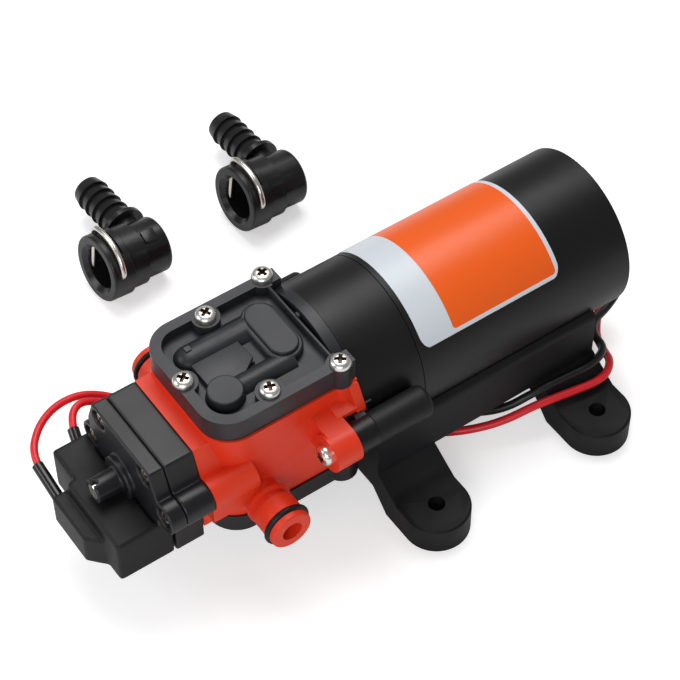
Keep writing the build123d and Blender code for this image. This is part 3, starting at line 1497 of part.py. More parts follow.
black_route = [
    (end_cap_rear_x + fit_gap, black_exit_y, black_exit_z),
    (54.1, black_exit_y, black_exit_z),
    (60.2, -9.2, 20.0),
    (60.6, -9.8, 13.2),
    (54.8, -11.4, 9.4),
    (48.0, -13.2, 9.6),
    (43.0, -18.6, 11.8),
    (41.2, near_side - 1.2, 14.2),
    (33.0, near_side - 4.4, 14.8),
    (24.6, near_side - 3.2, 14.4),
    (15.0, near_side - 2.2, 14.4),
    (5.0, -24.2, 9.8),
    (-3.6, -14.0, 4.8),
    (-8.2, -1.0, 1.6),
    (-8.6, 12.6, 1.3),
    (-4.4, 25.0, 1.25),
    (-3.2, 38.0, 1.25),
]
with BuildPart() as red_lead:
    tube("red_lead", red_route, lead_radius)
finish(red_lead.part, "red_lead")

with BuildPart() as black_lead:
    tube("black_lead", black_route, lead_radius)
finish(black_lead.part, "black_lead")

# Bare tinned ends of the two supply leads
with BuildPart() as tinned_ends:
    for route in (red_route, black_route):
        end_direction = Vector(*route[-1]) - Vector(*route[-2])
        rod(Plane(origin=route[-1], z_dir=end_direction), tinned_radius, tinned_length)
finish(tinned_ends.part, "tinned_ends")

# Elbows: a quick-connect socket with a hose barb at right angles. The socket lies on the rear
# edge of its wide mouth and on the edge of its narrow rear end, so its mouth looks up a little.
tilt = math.atan2(
    socket_mouth_radius - socket_rear_radius,
    socket_length - socket_rear_edge - socket_mouth_length,
)
turn = math.radians(elbow_turn)
rest_height = max(
    socket_mouth_length * math.sin(tilt) + socket_mouth_radius * math.cos(tilt),
    (socket_length - socket_rear_edge) * math.sin(tilt)
    + (socket_rear_radius - socket_rear_edge) * math.cos(tilt) + socket_rear_edge,
)


def elbow_frame(mouth_x):
    """Plane at the centre of an elbow's mouth: its normal points into the socket."""
    return Plane(
        origin=(mouth_x, elbow_y, rest_height),
        x_dir=(-math.sin(turn), math.cos(turn), 0),
        z_dir=(math.cos(tilt) * math.cos(turn), math.cos(tilt) * math.sin(turn), -math.sin(tilt)),
    )


def make_elbow(mouth_x):
    frame = elbow_frame(mouth_x)
    with BuildPart() as elbow:
        with BuildSketch(Plane(origin=frame.origin, x_dir=frame.z_dir, z_dir=-frame.x_dir)) as profile:
            with BuildLine():
                Polyline(
                    (0, 0),
                    (0, socket_mouth_radius),
                    (socket_mouth_length, socket_mouth_radius),
                    (socket_mouth_length + 0.5, socket_middle_radius),
                    (socket_middle_end, socket_middle_radius),
                    (socket_middle_end + 0.5, socket_rear_radius),
                    (socket_length, socket_rear_radius),
                    (socket_length, 0),
                    close=True,
                )
            make_face()
        socket_axis = Axis(frame.origin, frame.z_dir)
        revolve(profile.sketch, axis=socket_axis)
        outer_rims = elbow.edges().filter_by(GeomType.CIRCLE).sort_by(socket_axis)
        fillet(outer_rims[-1], socket_rear_edge)
        outer_rims = elbow.edges().filter_by(GeomType.CIRCLE).sort_by(socket_axis)
        fillet(outer_rims[0], socket_mouth_edge)
        barb_origin = frame.from_local_coords((0, 0, barb_x))
        barb_plane = Plane(origin=barb_origin, x_dir=frame.z_dir, z_dir=frame.x_dir)
        rod(barb_plane, barb_root_radius, barb_collar_y)
        rod(barb_plane.offset(barb_collar_y), barb_collar_radius, barb_collar_width)
        with BuildSketch(Plane(origin=barb_origin, x_dir=frame.x_dir, z_dir=frame.y_dir)) as ridges:
            with BuildLine():
                first_ridge = barb_y - barb_count * barb_pitch
                corners = [(barb_collar_y, 0), (barb_collar_y, barb_core_radius)]
                corners.append((first_ridge, barb_core_radius))
                for k in range(barb_count):
                    low = first_ridge + k * barb_pitch
                    corners.append((low, barb_ridge_radius))
                    corners.append((low + barb_pitch, barb_core_radius))
                corners.append((barb_y, 0))
                Polyline(*corners, close=True)
            make_face()
        revolve(ridges.sketch, axis=Axis(barb_origin, frame.x_dir))
        rod(frame, socket_bore_radius, socket_bore_depth, Mode.SUBTRACT)
        mouth_edge = [e for e in elbow.edges().filter_by(GeomType.CIRCLE)
                      if abs(e.radius - socket_bore_radius) < 0.01
                      and (e.arc_center - frame.origin).length < 0.5]
        chamfer(mouth_edge, socket_lead_in)
        inner_run = barb_x + socket_throat_radius - socket_bore_depth
        rod(frame.offset(socket_bore_depth), socket_throat_radius, inner_run, Mode.SUBTRACT)
        rod(barb_plane, barb_bore_radius, barb_y, Mode.SUBTRACT)
        shelf_top = frame.from_local_coords((0, socket_mouth_radius, clip_x))
        shelf_plane = Plane(origin=shelf_top, x_dir=frame.x_dir, z_dir=frame.y_dir)
        shelf = block(shelf_plane, 2 * socket_mouth_radius, clip_shelf_length)
        extrude(shelf, amount=-clip_shelf_depth, mode=Mode.SUBTRACT)
        for side in (-1, 1):
            slot_origin = frame.from_local_coords((side * clip_leg_y, 0, clip_x))
            slot_plane = Plane(origin=slot_origin, x_dir=frame.x_dir, z_dir=frame.y_dir)
            rod(slot_plane, clip_wire_radius + seat_gap, socket_mouth_radius + 2, Mode.SUBTRACT)
            rod(slot_plane, clip_wire_radius + seat_gap, -socket_mouth_radius - 2, Mode.SUBTRACT)
    return elbow.part


def make_clip(mouth_x):
    frame = elbow_frame(mouth_x)
    corners = [
        frame.from_local_coords((side, height, clip_x))
        for side, height in (
            (-clip_leg_y, clip_foot_z),
            (-clip_leg_y, clip_crown_z),
            (clip_leg_y, clip_crown_z),
            (clip_leg_y, clip_foot_z),
        )
    ]
    with BuildPart() as clip:
        with BuildLine() as wire:
            FilletPolyline(*corners, radius=clip_corner)
        with BuildSketch(Plane(origin=corners[0], z_dir=frame.y_dir)) as wire_section:
            Circle(clip_wire_radius)
        sweep(wire_section.sketch, path=wire.wire())
    return clip.part


elbow_shape = make_elbow(elbow_mouth_x)
clip_shape = make_clip(elbow_mouth_x)
for letter, shift in (("a", 0), ("b", elbow_pitch)):
    place = Location((shift, 0, 0))
    finish(elbow_shape.moved(place), f"elbow_{letter}")
    finish(clip_shape.moved(place), f"clip_{letter}")
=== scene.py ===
import bmesh
import bpy
import json
import math
from mathutils import Matrix, Vector

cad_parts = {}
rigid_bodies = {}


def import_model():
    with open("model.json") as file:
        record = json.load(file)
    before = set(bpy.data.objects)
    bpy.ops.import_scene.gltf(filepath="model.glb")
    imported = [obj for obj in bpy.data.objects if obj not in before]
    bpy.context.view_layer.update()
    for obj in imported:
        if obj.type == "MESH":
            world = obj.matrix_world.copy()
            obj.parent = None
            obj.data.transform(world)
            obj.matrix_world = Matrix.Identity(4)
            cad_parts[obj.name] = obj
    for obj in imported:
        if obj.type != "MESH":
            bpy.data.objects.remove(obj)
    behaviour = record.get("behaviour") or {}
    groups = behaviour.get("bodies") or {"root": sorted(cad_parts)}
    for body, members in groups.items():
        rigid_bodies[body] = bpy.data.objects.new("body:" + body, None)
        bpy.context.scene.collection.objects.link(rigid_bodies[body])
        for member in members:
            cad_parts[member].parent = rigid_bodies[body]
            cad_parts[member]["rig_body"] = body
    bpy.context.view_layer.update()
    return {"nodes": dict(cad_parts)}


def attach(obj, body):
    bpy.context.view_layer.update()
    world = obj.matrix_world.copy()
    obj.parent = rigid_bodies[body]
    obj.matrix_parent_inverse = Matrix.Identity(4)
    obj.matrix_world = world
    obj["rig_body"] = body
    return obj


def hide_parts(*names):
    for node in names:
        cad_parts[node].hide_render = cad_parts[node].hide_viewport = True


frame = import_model()

MM = 0.001
MERGE_GAP = 0.00001     # in metres: points nearer than this are one point
FLAT_ANGLE = 0.6        # in degrees: facets that meet at less than this are one face
EDGE_ANGLE = 32         # in degrees: a moulding's edge that is sharper than this is rounded
MOTOR_Z = 38.5 * MM     # the motor's axis above the floor
UP, DOWN, FRONT, REAR = (0, 0, 1), (0, 0, -1), (-1, 0, 0), (1, 0, 0)
FACING_FRONT = Matrix(((0, 0, -1, 0), (1, 0, 0, 0), (0, 1, 0, 0), (0, 0, 0, 1)))


# Selecting pieces and finishing their meshes

def leave_edit():
    if bpy.context.object is not None and bpy.context.object.mode != "OBJECT":
        bpy.ops.object.mode_set(mode="OBJECT")
    bpy.ops.object.select_all(action="DESELECT")


def pick(piece):
    leave_edit()
    piece.select_set(True)
    bpy.context.view_layer.objects.active = piece


def edit_all(piece):
    """Goes into edit mode with the whole mesh selected."""
    pick(piece)
    bpy.ops.object.mode_set(mode="EDIT")
    bpy.ops.mesh.select_all(action="SELECT")


def edit_where(piece, kind, wanted):
    """Goes into edit mode with only the wanted faces (FACE) or points (VERT) selected."""
    pick(piece)
    bpy.ops.object.mode_set(mode="EDIT")
    bpy.ops.mesh.select_mode(type=kind)
    bpy.ops.mesh.select_all(action="DESELECT")
    bpy.ops.object.mode_set(mode="OBJECT")
    for element in piece.data.polygons if kind == "FACE" else piece.data.vertices:
        element.select = wanted(element)
    bpy.ops.object.mode_set(mode="EDIT")


def edit_top(piece, height):
    """Goes into edit mode with only the upward face at this height selected."""
    edit_where(piece, "FACE", lambda face: (
        face.normal.z > 0.9 and abs(face.center.z - height) < MERGE_GAP))


def modify(piece, kind, **settings):
    """Adds a modifier with these settings and applies it."""
    pick(piece)
    modifier = piece.modifiers.new(kind.title(), kind)
    for key, value in settings.items():
        setattr(modifier, key, value)
    bpy.ops.object.modifier_apply(modifier=modifier.name)


def round_edges(piece, width, segments=3, angle=30, **settings):
    """Bevels the edges that are sharper than an angle in degrees. The width is in mm."""
    modify(piece, "BEVEL", width=width * MM, segments=segments, limit_method="ANGLE",
           angle_limit=math.radians(angle), **settings)


def settle(piece):
    """Puts the piece's place into its mesh."""
    pick(piece)
    bpy.ops.object.transform_apply(location=True, rotation=True, scale=True)


def smooth(piece, angle=35):
    pick(piece)
    bpy.ops.object.shade_smooth_by_angle(angle=math.radians(angle))


def even_shading(piece, weight):
    modify(piece, "WEIGHTED_NORMAL", mode="FACE_AREA", weight=weight, keep_sharp=True)


# Making pieces, and what they are to the model

def in_scene(name, data):
    """A new object for a mesh, curve, lamp or camera."""
    thing = bpy.data.objects.new(name, data)
    bpy.context.scene.collection.objects.link(thing)
    return thing


def body_of(node):
    return frame["nodes"][node]["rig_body"]


def dress(piece, body, materials, replaces=()):
    """Gives a piece its materials and body, and the nodes that it stands for.

    A piece that has these materials keeps them as they are, with the faces that each one is on.
    """
    if list(piece.data.materials) != materials:
        piece.data.materials.clear()
        for material in materials:
            piece.data.materials.append(material)
    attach(piece, body)
    if replaces:
        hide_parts(*replaces)


def stand_for(piece, node, materials):
    dress(piece, body_of(node), materials, [node])


def shape_of(node):
    """A copy of a CAD node's mesh, to be shaped further."""
    return in_scene(node + "_shape", frame["nodes"][node].data.copy())


def softened(node, material, radius, segments=3):
    """A CAD node's copy with its facets joined up and its edges rounded, as on a moulding."""
    piece = shape_of(node)
    edit_all(piece)
    bpy.ops.mesh.remove_doubles(threshold=MERGE_GAP)
    bpy.ops.mesh.dissolve_limited(angle_limit=math.radians(FLAT_ANGLE))
    leave_edit()
    round_edges(piece, radius, segments, EDGE_ANGLE, miter_outer="MITER_ARC")
    smooth(piece, 40)
    even_shading(piece, 60)
    stand_for(piece, node, [material])


def remoulded(node, material, cell, rounds):
    """A CAD node's copy with every edge worn round, as on a soft moulding. The cell is in mm."""
    piece = shape_of(node)
    edit_all(piece)
    bpy.ops.mesh.remove_doubles(threshold=MERGE_GAP)
    bpy.ops.mesh.normals_make_consistent(inside=False)
    leave_edit()
    modify(piece, "REMESH", mode="VOXEL", voxel_size=cell * MM, use_smooth_shade=True)
    modify(piece, "SMOOTH", factor=0.5, iterations=rounds)
    modify(piece, "DECIMATE", decimate_type="COLLAPSE", ratio=0.6)
    smooth(piece, 60)
    stand_for(piece, node, [material])


def slab(name, low, high, corner):
    """A block between two corners in mm, with rounded edges, to be shaped further."""
    leave_edit()
    middle = [(a + b) / 2 * MM for a, b in zip(low, high)]
    bpy.ops.mesh.primitive_cube_add(size=1, location=middle)
    piece = bpy.context.object
    piece.name = name
    piece.scale = [(b - a) * MM for a, b in zip(low, high)]
    settle(piece)
    round_edges(piece, corner)
    smooth(piece)
    return piece


def plate(name, outline, plane, depth, corner):
    """A flat plate: the outline's points in mm on a plane, thickened along the plane's normal."""
    mesh = bpy.data.meshes.new(name)
    skin = bmesh.new()
    skin.faces.new([skin.verts.new(plane @ Vector((u * MM, v * MM, 0))) for u, v in outline])
    skin.to_mesh(mesh)
    skin.free()
    piece = in_scene(name, mesh)
    edit_all(piece)
    bpy.ops.mesh.extrude_region_move(TRANSFORM_OT_translate={
        "value": tuple(plane.to_3x3() @ Vector((0, 0, depth * MM)))})
    bpy.ops.mesh.select_all(action="SELECT")
    bpy.ops.mesh.normals_make_consistent(inside=False)
    leave_edit()
    round_edges(piece, corner)
    smooth(piece)
    return piece


def join_pieces(pieces, name):
    pick(pieces[0])
    for piece in pieces[1:]:
        piece.select_set(True)
    bpy.ops.object.join()
    pieces[0].name = name
    settle(pieces[0])
    return pieces[0]


def copies_at(source, name, spots):
    """Copies of a piece modelled at the origin along +Z, set at places in mm along axes."""
    twins = []
    for place, axis, turn in spots:
        twin = in_scene(name, source.data.copy())
        aim = Vector(axis).to_track_quat("Z", "Y").to_matrix().to_4x4()
        spin = Matrix.Rotation(math.radians(turn), 4, "Z")
        twin.matrix_world = Matrix.Translation(Vector(place) * MM) @ aim @ spin
        twins.append(twin)
    bpy.data.objects.remove(source)
    return join_pieces(twins, name)


def smooth_line(name, points, radius, order, steps, sides):
    """A round wire in mm along one NURBS curve, with these points as its control points."""
    curve = bpy.data.curves.new(name, "CURVE")
    curve.dimensions = "3D"
    curve.bevel_depth = radius * MM
    curve.bevel_resolution = sides
    curve.resolution_u = steps
    curve.use_fill_caps = True
    spline = curve.splines.new("NURBS")
    spline.points.add(len(points) - 1)
    for knot, point in zip(spline.points, points):
        knot.co = (*(c * MM for c in point), 1)
    spline.order_u = order
    spline.use_endpoint_u = True
    return in_scene(name, curve)


# Cross-head screws. Their details are shares of the head's radius and height.

HEAD_WALL = 0.42        # the head's upright edge, of its height
DOME_STEPS = (          # each ring of the dome: in, of the radius, and up, of the height
    (0.05, 0.17), (0.09, 0.17), (0.14, 0.13), (0.2, 0.08), (0.2, 0.03),
)
CROSS_DEPTH = 0.72      # of the height
CROSS_REACH = 1.2       # of the radius, from end to end
CROSS_WIDTH = 0.42      # of the radius
CROSS_TAPER = 0.62      # the cross at its bottom, of its size at the top
CUTTER_PROUD = 0.0002   # in metres, how far the cutter stands out of the head


def screw_head(name, radius, height):
    leave_edit()
    wall = HEAD_WALL * height * MM
    bpy.ops.mesh.primitive_cylinder_add(vertices=72, radius=radius * MM, depth=wall,
                                        location=(0, 0, wall / 2))
    head = bpy.context.object
    head.name = name
    settle(head)
    edit_top(head, wall)
    for inward, upward in DOME_STEPS:
        bpy.ops.mesh.inset(thickness=inward * radius * MM, use_even_offset=False)
        bpy.ops.transform.translate(value=(0, 0, upward * height * MM))
    leave_edit()
    return head


def cut_cross(head, radius, height):
    """Cuts the cross into a screw's head and gives the faces inside it a darker brownish metal,
    painted shade for the hollow.
    """
    depth = CROSS_DEPTH * height * MM
    bpy.ops.mesh.primitive_cube_add(
        size=1, location=(0, 0, height * MM - depth / 2 + CUTTER_PROUD))
    cutter = bpy.context.object
    cutter.scale = (CROSS_REACH * radius * MM, CROSS_WIDTH * radius * MM,
                    depth + 2 * CUTTER_PROUD)
    settle(cutter)
    edit_where(cutter, "FACE", lambda face: face.normal.z < -0.9)
    bpy.ops.transform.resize(value=(CROSS_TAPER, CROSS_TAPER, 1))
    leave_edit()
    for turn in (0, 90):
        cutter.rotation_euler = (0, 0, math.radians(turn))
        modify(head, "BOOLEAN", object=cutter, operation="DIFFERENCE", solver="EXACT")
    bpy.data.objects.remove(cutter)
    head.data.materials.clear()
    head.data.materials.append(CHROME)
    head.data.materials.append(RECESS_PAINTED_SHADE)
    # The cross's walls and floor take the painted shade.
    for face in head.data.polygons:
        central = math.hypot(face.center.x, face.center.y) < 0.62 * radius * MM
        on_dome = face.center.z > 0.1 * height * MM
        steep = face.normal.z < 0.6
        deep = face.center.z < height * MM - 0.6 * depth
        if central and on_dome and (steep or deep):
            face.material_index = 1


def pan_screw(name, radius, height, shank, reach):
    """A cross-head screw at the origin, in mm: a domed head above z = 0 and a shank below."""
    head = screw_head(name, radius, height)
    cut_cross(head, radius, height)
    bpy.ops.mesh.primitive_cylinder_add(vertices=24, radius=shank * MM, depth=reach * MM,
                                        location=(0, 0, -reach * MM / 2))
    stem = bpy.context.object
    settle(stem)
    round_edges(stem, 0.2, 2, 38)
    stem.data.materials.append(CHROME)
    screw = join_pieces([head, stem], name)
    smooth(screw, 32)
    even_shading(screw, 70)
    return screw


def screws(name, node, size, spots):
    stand_for(copies_at(pan_screw(name, *size), name, spots), node, [CHROME, RECESS_PAINTED_SHADE])


# Materials

def node_in(tree, kind, feeds=(), **settings):
    """A new node with these settings. Its inputs are fed by outputs, plain numbers or colours."""
    node = tree.nodes.new(kind)
    for key, value in settings.items():
        setattr(node, key, value)
    for label, value in dict(feeds).items():
        if isinstance(value, bpy.types.NodeSocket):
            tree.links.new(value, node.inputs[label])
        else:
            node.inputs[label].default_value = value
    return node


def calc(tree, operation, first, second=0.0, **settings):
    """A Math node's output, from outputs or plain numbers."""
    return node_in(tree, "ShaderNodeMath", {0: first, 1: second}, operation=operation,
                   **settings).outputs["Value"]


def new_group(name, inputs, outputs):
    group = bpy.data.node_groups.new(name, "ShaderNodeTree")
    for label, kind, default in inputs:
        socket = group.interface.new_socket(label, in_out="INPUT", socket_type=kind)
        socket.default_value = default
    for label, kind in outputs:
        group.interface.new_socket(label, in_out="OUTPUT", socket_type=kind)
    given, result = group.nodes.new("NodeGroupInput"), group.nodes.new("NodeGroupOutput")
    return group, given.outputs, result.inputs


def moulded_skin():
    """Fine moulded grain, faint mottling and scuffed edges for plastic, rubber and metal."""
    group, given, result = new_group(
        "moulded_skin",
        [("Colour", "NodeSocketColor", (0.02, 0.02, 0.02, 1)),
         ("Worn Colour", "NodeSocketColor", (0.1, 0.1, 0.1, 1)),
         ("Roughness", "NodeSocketFloat", 0.45),
         ("Grain Size", "NodeSocketFloat", 1400.0),
         ("Grain Depth", "NodeSocketFloat", 0.25),
         ("Edge", "NodeSocketFloat", 0.5)],
        [("Colour", "NodeSocketColor"), ("Roughness", "NodeSocketFloat"),
         ("Normal", "NodeSocketVector")])
    where = node_in(group, "ShaderNodeTexCoord").outputs["Object"]
    grain = node_in(group, "ShaderNodeTexNoise", {
        "Vector": where, "Scale": given["Grain Size"], "Detail": 3.0, "Roughness": 0.6})
    bump = node_in(group, "ShaderNodeBump", {
        "Height": grain.outputs["Fac"], "Strength": given["Grain Depth"], "Distance": 0.00006})
    cloud = node_in(group, "ShaderNodeTexNoise", {
        "Vector": where, "Scale": 55.0, "Detail": 5.0}).outputs["Fac"]
    pointed = node_in(group, "ShaderNodeNewGeometry").outputs["Pointiness"]
    ridge = node_in(group, "ShaderNodeMapRange", {
        "Value": pointed, "From Min": 0.505, "From Max": 0.56}).outputs["Result"]
    scuff = calc(group, "MULTIPLY", calc(group, "MULTIPLY", ridge, cloud), given["Edge"])
    tint = node_in(group, "ShaderNodeMix", {
        "Factor": scuff, "A": given["Colour"], "B": given["Worn Colour"]}, data_type="RGBA")
    mottle = node_in(group, "ShaderNodeMapRange", {
        "Value": cloud, "From Min": 0.3, "From Max": 0.7, "To Min": -0.05, "To Max": 0.06})
    rough = calc(group, "ADD", given["Roughness"], mottle.outputs["Result"], use_clamp=True)
    group.links.new(tint.outputs["Result"], result["Colour"])
    group.links.new(rough, result["Roughness"])
    group.links.new(bump.outputs["Normal"], result["Normal"])
    return group


def label_print():
    """A mask for the label: 1 on its coloured panel, which has round corners, and 0 round it."""
    group, given, result = new_group(
        "label_print",
        [("Front", "NodeSocketFloat", -0.0100), ("Rear", "NodeSocketFloat", 0.0247),
         ("Reach", "NodeSocketFloat", 0.0236), ("Corner", "NodeSocketFloat", 0.0012),
         ("Axis Height", "NodeSocketFloat", MOTOR_Z), ("Radius", "NodeSocketFloat", 0.0242)],
        [("Panel", "NodeSocketFloat")])
    where = node_in(group, "ShaderNodeTexCoord").outputs["Object"]
    split = node_in(group, "ShaderNodeSeparateXYZ", {"Vector": where}).outputs
    half_run = calc(group, "MULTIPLY", calc(group, "SUBTRACT", given["Rear"], given["Front"]), 0.5)
    middle = calc(group, "MULTIPLY", calc(group, "ADD", given["Rear"], given["Front"]), 0.5)
    height = calc(group, "SUBTRACT", split["Z"], given["Axis Height"])
    arc = calc(group, "MULTIPLY", calc(group, "ARCTAN2", split["Y"], height), given["Radius"])
    from_middle = calc(group, "ABSOLUTE", calc(group, "SUBTRACT", split["X"], middle))
    from_top = calc(group, "ABSOLUTE", arc)
    far_squared = []
    for distance, limit in ((from_middle, half_run), (from_top, given["Reach"])):
        past = calc(group, "ADD", calc(group, "SUBTRACT", distance, limit), given["Corner"])
        past = calc(group, "MAXIMUM", past, 0.0)
        far_squared.append(calc(group, "MULTIPLY", past, past))
    far = calc(group, "SQRT", calc(group, "ADD", *far_squared))
    group.links.new(calc(group, "LESS_THAN", far, given["Corner"]), result["Panel"])
    return group


SKIN = moulded_skin()


def new_material(name):
    material = bpy.data.materials.new(name)
    material.use_nodes = True
    return material, material.node_tree, material.node_tree.nodes["Principled BSDF"].inputs


def plastic(name, colour, worn, roughness, grain=1400, depth=0.25, edge=0.5, shine=0.5):
    """A moulded finish, with the colour of its worn edges and its grain's fineness and depth."""
    material, tree, shader = new_material(name)
    shader["Specular IOR Level"].default_value = shine
    skin = node_in(tree, "ShaderNodeGroup", {
        "Colour": (*colour, 1), "Worn Colour": (*worn, 1), "Roughness": roughness,
        "Grain Size": grain, "Grain Depth": depth, "Edge": edge}, node_tree=SKIN)
    tree.links.new(skin.outputs["Colour"], shader["Base Color"])
    tree.links.new(skin.outputs["Roughness"], shader["Roughness"])
    tree.links.new(skin.outputs["Normal"], shader["Normal"])
    return material


def metal(name, colour, roughness, grain=900, depth=0.1):
    worn = tuple(min(1, c * 1.15) for c in colour)
    material = plastic(name, colour, worn, roughness, grain, depth, edge=0.4)
    material.node_tree.nodes["Principled BSDF"].inputs["Metallic"].default_value = 1.0
    return material


def label_sheet():
    """White sheet with an orange panel and no print."""
    material, tree, shader = new_material("printed_label")
    shader["Roughness"].default_value = 0.32
    shader["Specular IOR Level"].default_value = 0.4
    panel = node_in(tree, "ShaderNodeGroup", node_tree=label_print()).outputs["Panel"]
    tint = node_in(tree, "ShaderNodeMix", {
        "Factor": panel, "A": (0.68, 0.73, 0.78, 1), "B": (0.93, 0.125, 0.010, 1)},
        data_type="RGBA")
    tree.links.new(tint.outputs["Result"], shader["Base Color"])
    return material


RED_PLASTIC = plastic("red_plastic", (0.80, 0.040, 0.011), (0.9, 0.14, 0.06), 0.4,
                      grain=1100, depth=0.25, edge=0.25, shine=0.35)
GREY_PLASTIC = plastic("grey_plastic", (0.019, 0.020, 0.0235), (0.07, 0.07, 0.08), 0.4,
                       grain=1300, depth=0.2, edge=0.4, shine=0.42)
BLACK_PLASTIC = plastic("black_plastic", (0.009, 0.009, 0.011), (0.05, 0.05, 0.055), 0.35,
                        grain=1500, depth=0.3, edge=0.4, shine=0.4)
SLEEVE_BLACK = plastic("sleeve_black", (0.005, 0.005, 0.006), (0.03, 0.03, 0.03), 0.4,
                       grain=2200, depth=0.3, edge=0.25, shine=0.35)
FOOT_BLACK = plastic("foot_black", (0.004, 0.004, 0.005), (0.04, 0.04, 0.044), 0.5,
                     grain=1700, depth=0.4, edge=0.4, shine=0.2)
SOFT_BLACK = plastic("soft_black", (0.008, 0.008, 0.009), (0.03, 0.03, 0.032), 0.5,
                     grain=1900, depth=0.4, edge=0.2, shine=0.3)
ELBOW_BLACK = plastic("elbow_black", (0.008, 0.008, 0.009), (0.05, 0.05, 0.05), 0.28,
                      grain=1500, depth=0.2, edge=0.4, shine=0.45)
RING_RUBBER = plastic("ring_rubber", (0.008, 0.008, 0.008), (0.02, 0.02, 0.02), 0.4,
                      grain=1800, depth=0.2, edge=0.1, shine=0.3)
SHRINK_BLACK = plastic("shrink_black", (0.006, 0.006, 0.007), (0.02, 0.02, 0.02), 0.22,
                       grain=1500, depth=0.1, edge=0.1, shine=0.6)
CHROME = metal("chrome_plate", (0.92, 0.90, 0.86), 0.3, depth=0.02)
# Painted shade: a darker brownish metal on the walls and floor of the screws' cross recesses.
RECESS_PAINTED_SHADE = metal("recess_painted_shade", (0.16, 0.11, 0.07), 0.5, depth=0.05)
BRIGHT_WIRE = metal("bright_wire", (0.80, 0.77, 0.71), 0.24, depth=0.04)
STEEL = metal("plain_steel", (0.5, 0.5, 0.51), 0.35, grain=700, depth=0.2)
COPPER = metal("copper", (0.8, 0.36, 0.2), 0.3)
TIN = metal("tinned_wire", (0.7, 0.7, 0.71), 0.32)
MAGNET = plastic("magnet_grey", (0.06, 0.06, 0.065), (0.15, 0.15, 0.15), 0.55)
CARBON = plastic("carbon", (0.02, 0.02, 0.021), (0.05, 0.05, 0.05), 0.6)
PALE_PLASTIC = plastic("pale_plastic", (0.5, 0.49, 0.46), (0.6, 0.6, 0.58), 0.45)
RED_WIRE = plastic("red_wire", (0.78, 0.018, 0.026), (0.9, 0.1, 0.1), 0.34,
                   grain=1200, depth=0.12, edge=0.05, shine=0.4)
BLACK_WIRE = plastic("black_wire", (0.008, 0.008, 0.009), (0.03, 0.03, 0.03), 0.38,
                     grain=1200, depth=0.12, edge=0.05, shine=0.4)
LABEL = label_sheet()

# CAD nodes that stay as they are and get a finish

finish_of = {
    "motor_can": STEEL, "front_motor_bearing": STEEL, "field_magnets": MAGNET,
    "motor_end_cap": BLACK_PLASTIC, "rear_motor_bearing": STEEL, "brush_holders": COPPER,
    "carbon_brushes": CARBON, "brush_springs": STEEL, "upper_diaphragm": SOFT_BLACK,
    "lower_diaphragm": SOFT_BLACK, "upper_valve_plate": PALE_PLASTIC,
    "lower_valve_plate": PALE_PLASTIC, "inlet_valves": SOFT_BLACK, "outlet_valves": SOFT_BLACK,
    "lug_nuts": STEEL, "switch_diaphragm": SOFT_BLACK, "pressure_spring": STEEL,
    "microswitch_body": BLACK_PLASTIC, "tinned_ends": TIN,
    "motor_shaft": STEEL, "armature_core": STEEL, "armature_windings": COPPER,
    "commutator": COPPER, "eccentric_hub": STEEL, "counterweight": STEEL, "hub_set_screw": STEEL,
    "drive_bearing": STEEL, "yoke": PALE_PLASTIC, "diaphragm_pistons": PALE_PLASTIC,
    "piston_screws": STEEL, "spring_seat": STEEL, "adjusting_screw": CHROME,
    "switch_piston": PALE_PLASTIC, "microswitch_button": RED_WIRE,
}
for node, material in finish_of.items():
    mesh = frame["nodes"][node].data
    mesh.materials.clear()
    mesh.materials.append(material)

# CAD nodes that are given rounder shapes

softened("pump_body", RED_PLASTIC, 0.4)
softened("top_cover", GREY_PLASTIC, 0.35)
softened("bottom_cover", BLACK_PLASTIC, 0.5)
softened("motor_flange", SLEEVE_BLACK, 0.3)
softened("motor_sleeve", SLEEVE_BLACK, 0.3)
softened("base_saddle", FOOT_BLACK, 0.6)
remoulded("switch_manifold", BLACK_PLASTIC, 0.3, 12)
remoulded("switch_housing", BLACK_PLASTIC, 0.28, 9)
remoulded("switch_cover", SOFT_BLACK, 0.32, 24)
softened("terminal_sleeves", SHRINK_BLACK, 0.3)
softened("screw_caps", SOFT_BLACK, 0.2)
softened("port_o_rings", RING_RUBBER, 0.02, 1)
for letter in "ab":
    softened("elbow_" + letter, ELBOW_BLACK, 0.25)
softened("rating_label", LABEL, 0.02, 1)

# Details of the top cover. Places are in mm.

RELIEF_Z, COVER_Z = 58.1, 61.0      # the cover's sunk floor and its top
ARCH_X, ARCH_RADIUS = -44.7, 23.9   # the arch behind the cover, round the motor's axis
STRIP_Z = 19.9                      # the lowest point of the arch's strip, above the motor's axis
panel = plate(
    "cover_panel",
    [(-76.8, 4.2), (-62.5, 4.2), (-62.1, -2.6), (-66.0, -5.4), (-76.8, -5.4)],
    Matrix.Translation((0, 0, RELIEF_Z * MM)), 1.9, 0.2)
dress(panel, "pump", [GREY_PLASTIC])
ridge = slab("cover_ridge", (-46.2, -14.8, RELIEF_Z - 0.3), (-45.4, 14.8, COVER_Z - 0.1), 0.25)
dress(ridge, "pump", [GREY_PLASTIC])
key = slab("cover_key", (-45.6, 0.9, RELIEF_Z), (ARCH_X + 0.1, 2.5, COVER_Z + 0.6), 0.2)
dress(key, "pump", [GREY_PLASTIC])
arch = [(ARCH_RADIUS * math.sin(math.radians(t)), ARCH_RADIUS * math.cos(math.radians(t)))
        for t in range(34, -36, -2)]
# A thin black sheet on the arch's front face: painted shade for the dark gap in front of the arch.
gap_shade_sheet = plate(
    "cover_gap_painted_shade", [(14.4, 20.2)] + [(u, v) for u, v in arch if v > STRIP_Z] + [(-14.4, 20.2)],
    Matrix.Translation((ARCH_X * MM, 0, MOTOR_Z)) @ FACING_FRONT, 0.12, 0.02)
dress(gap_shade_sheet, "pump", [SLEEVE_BLACK])

# The near lug's web

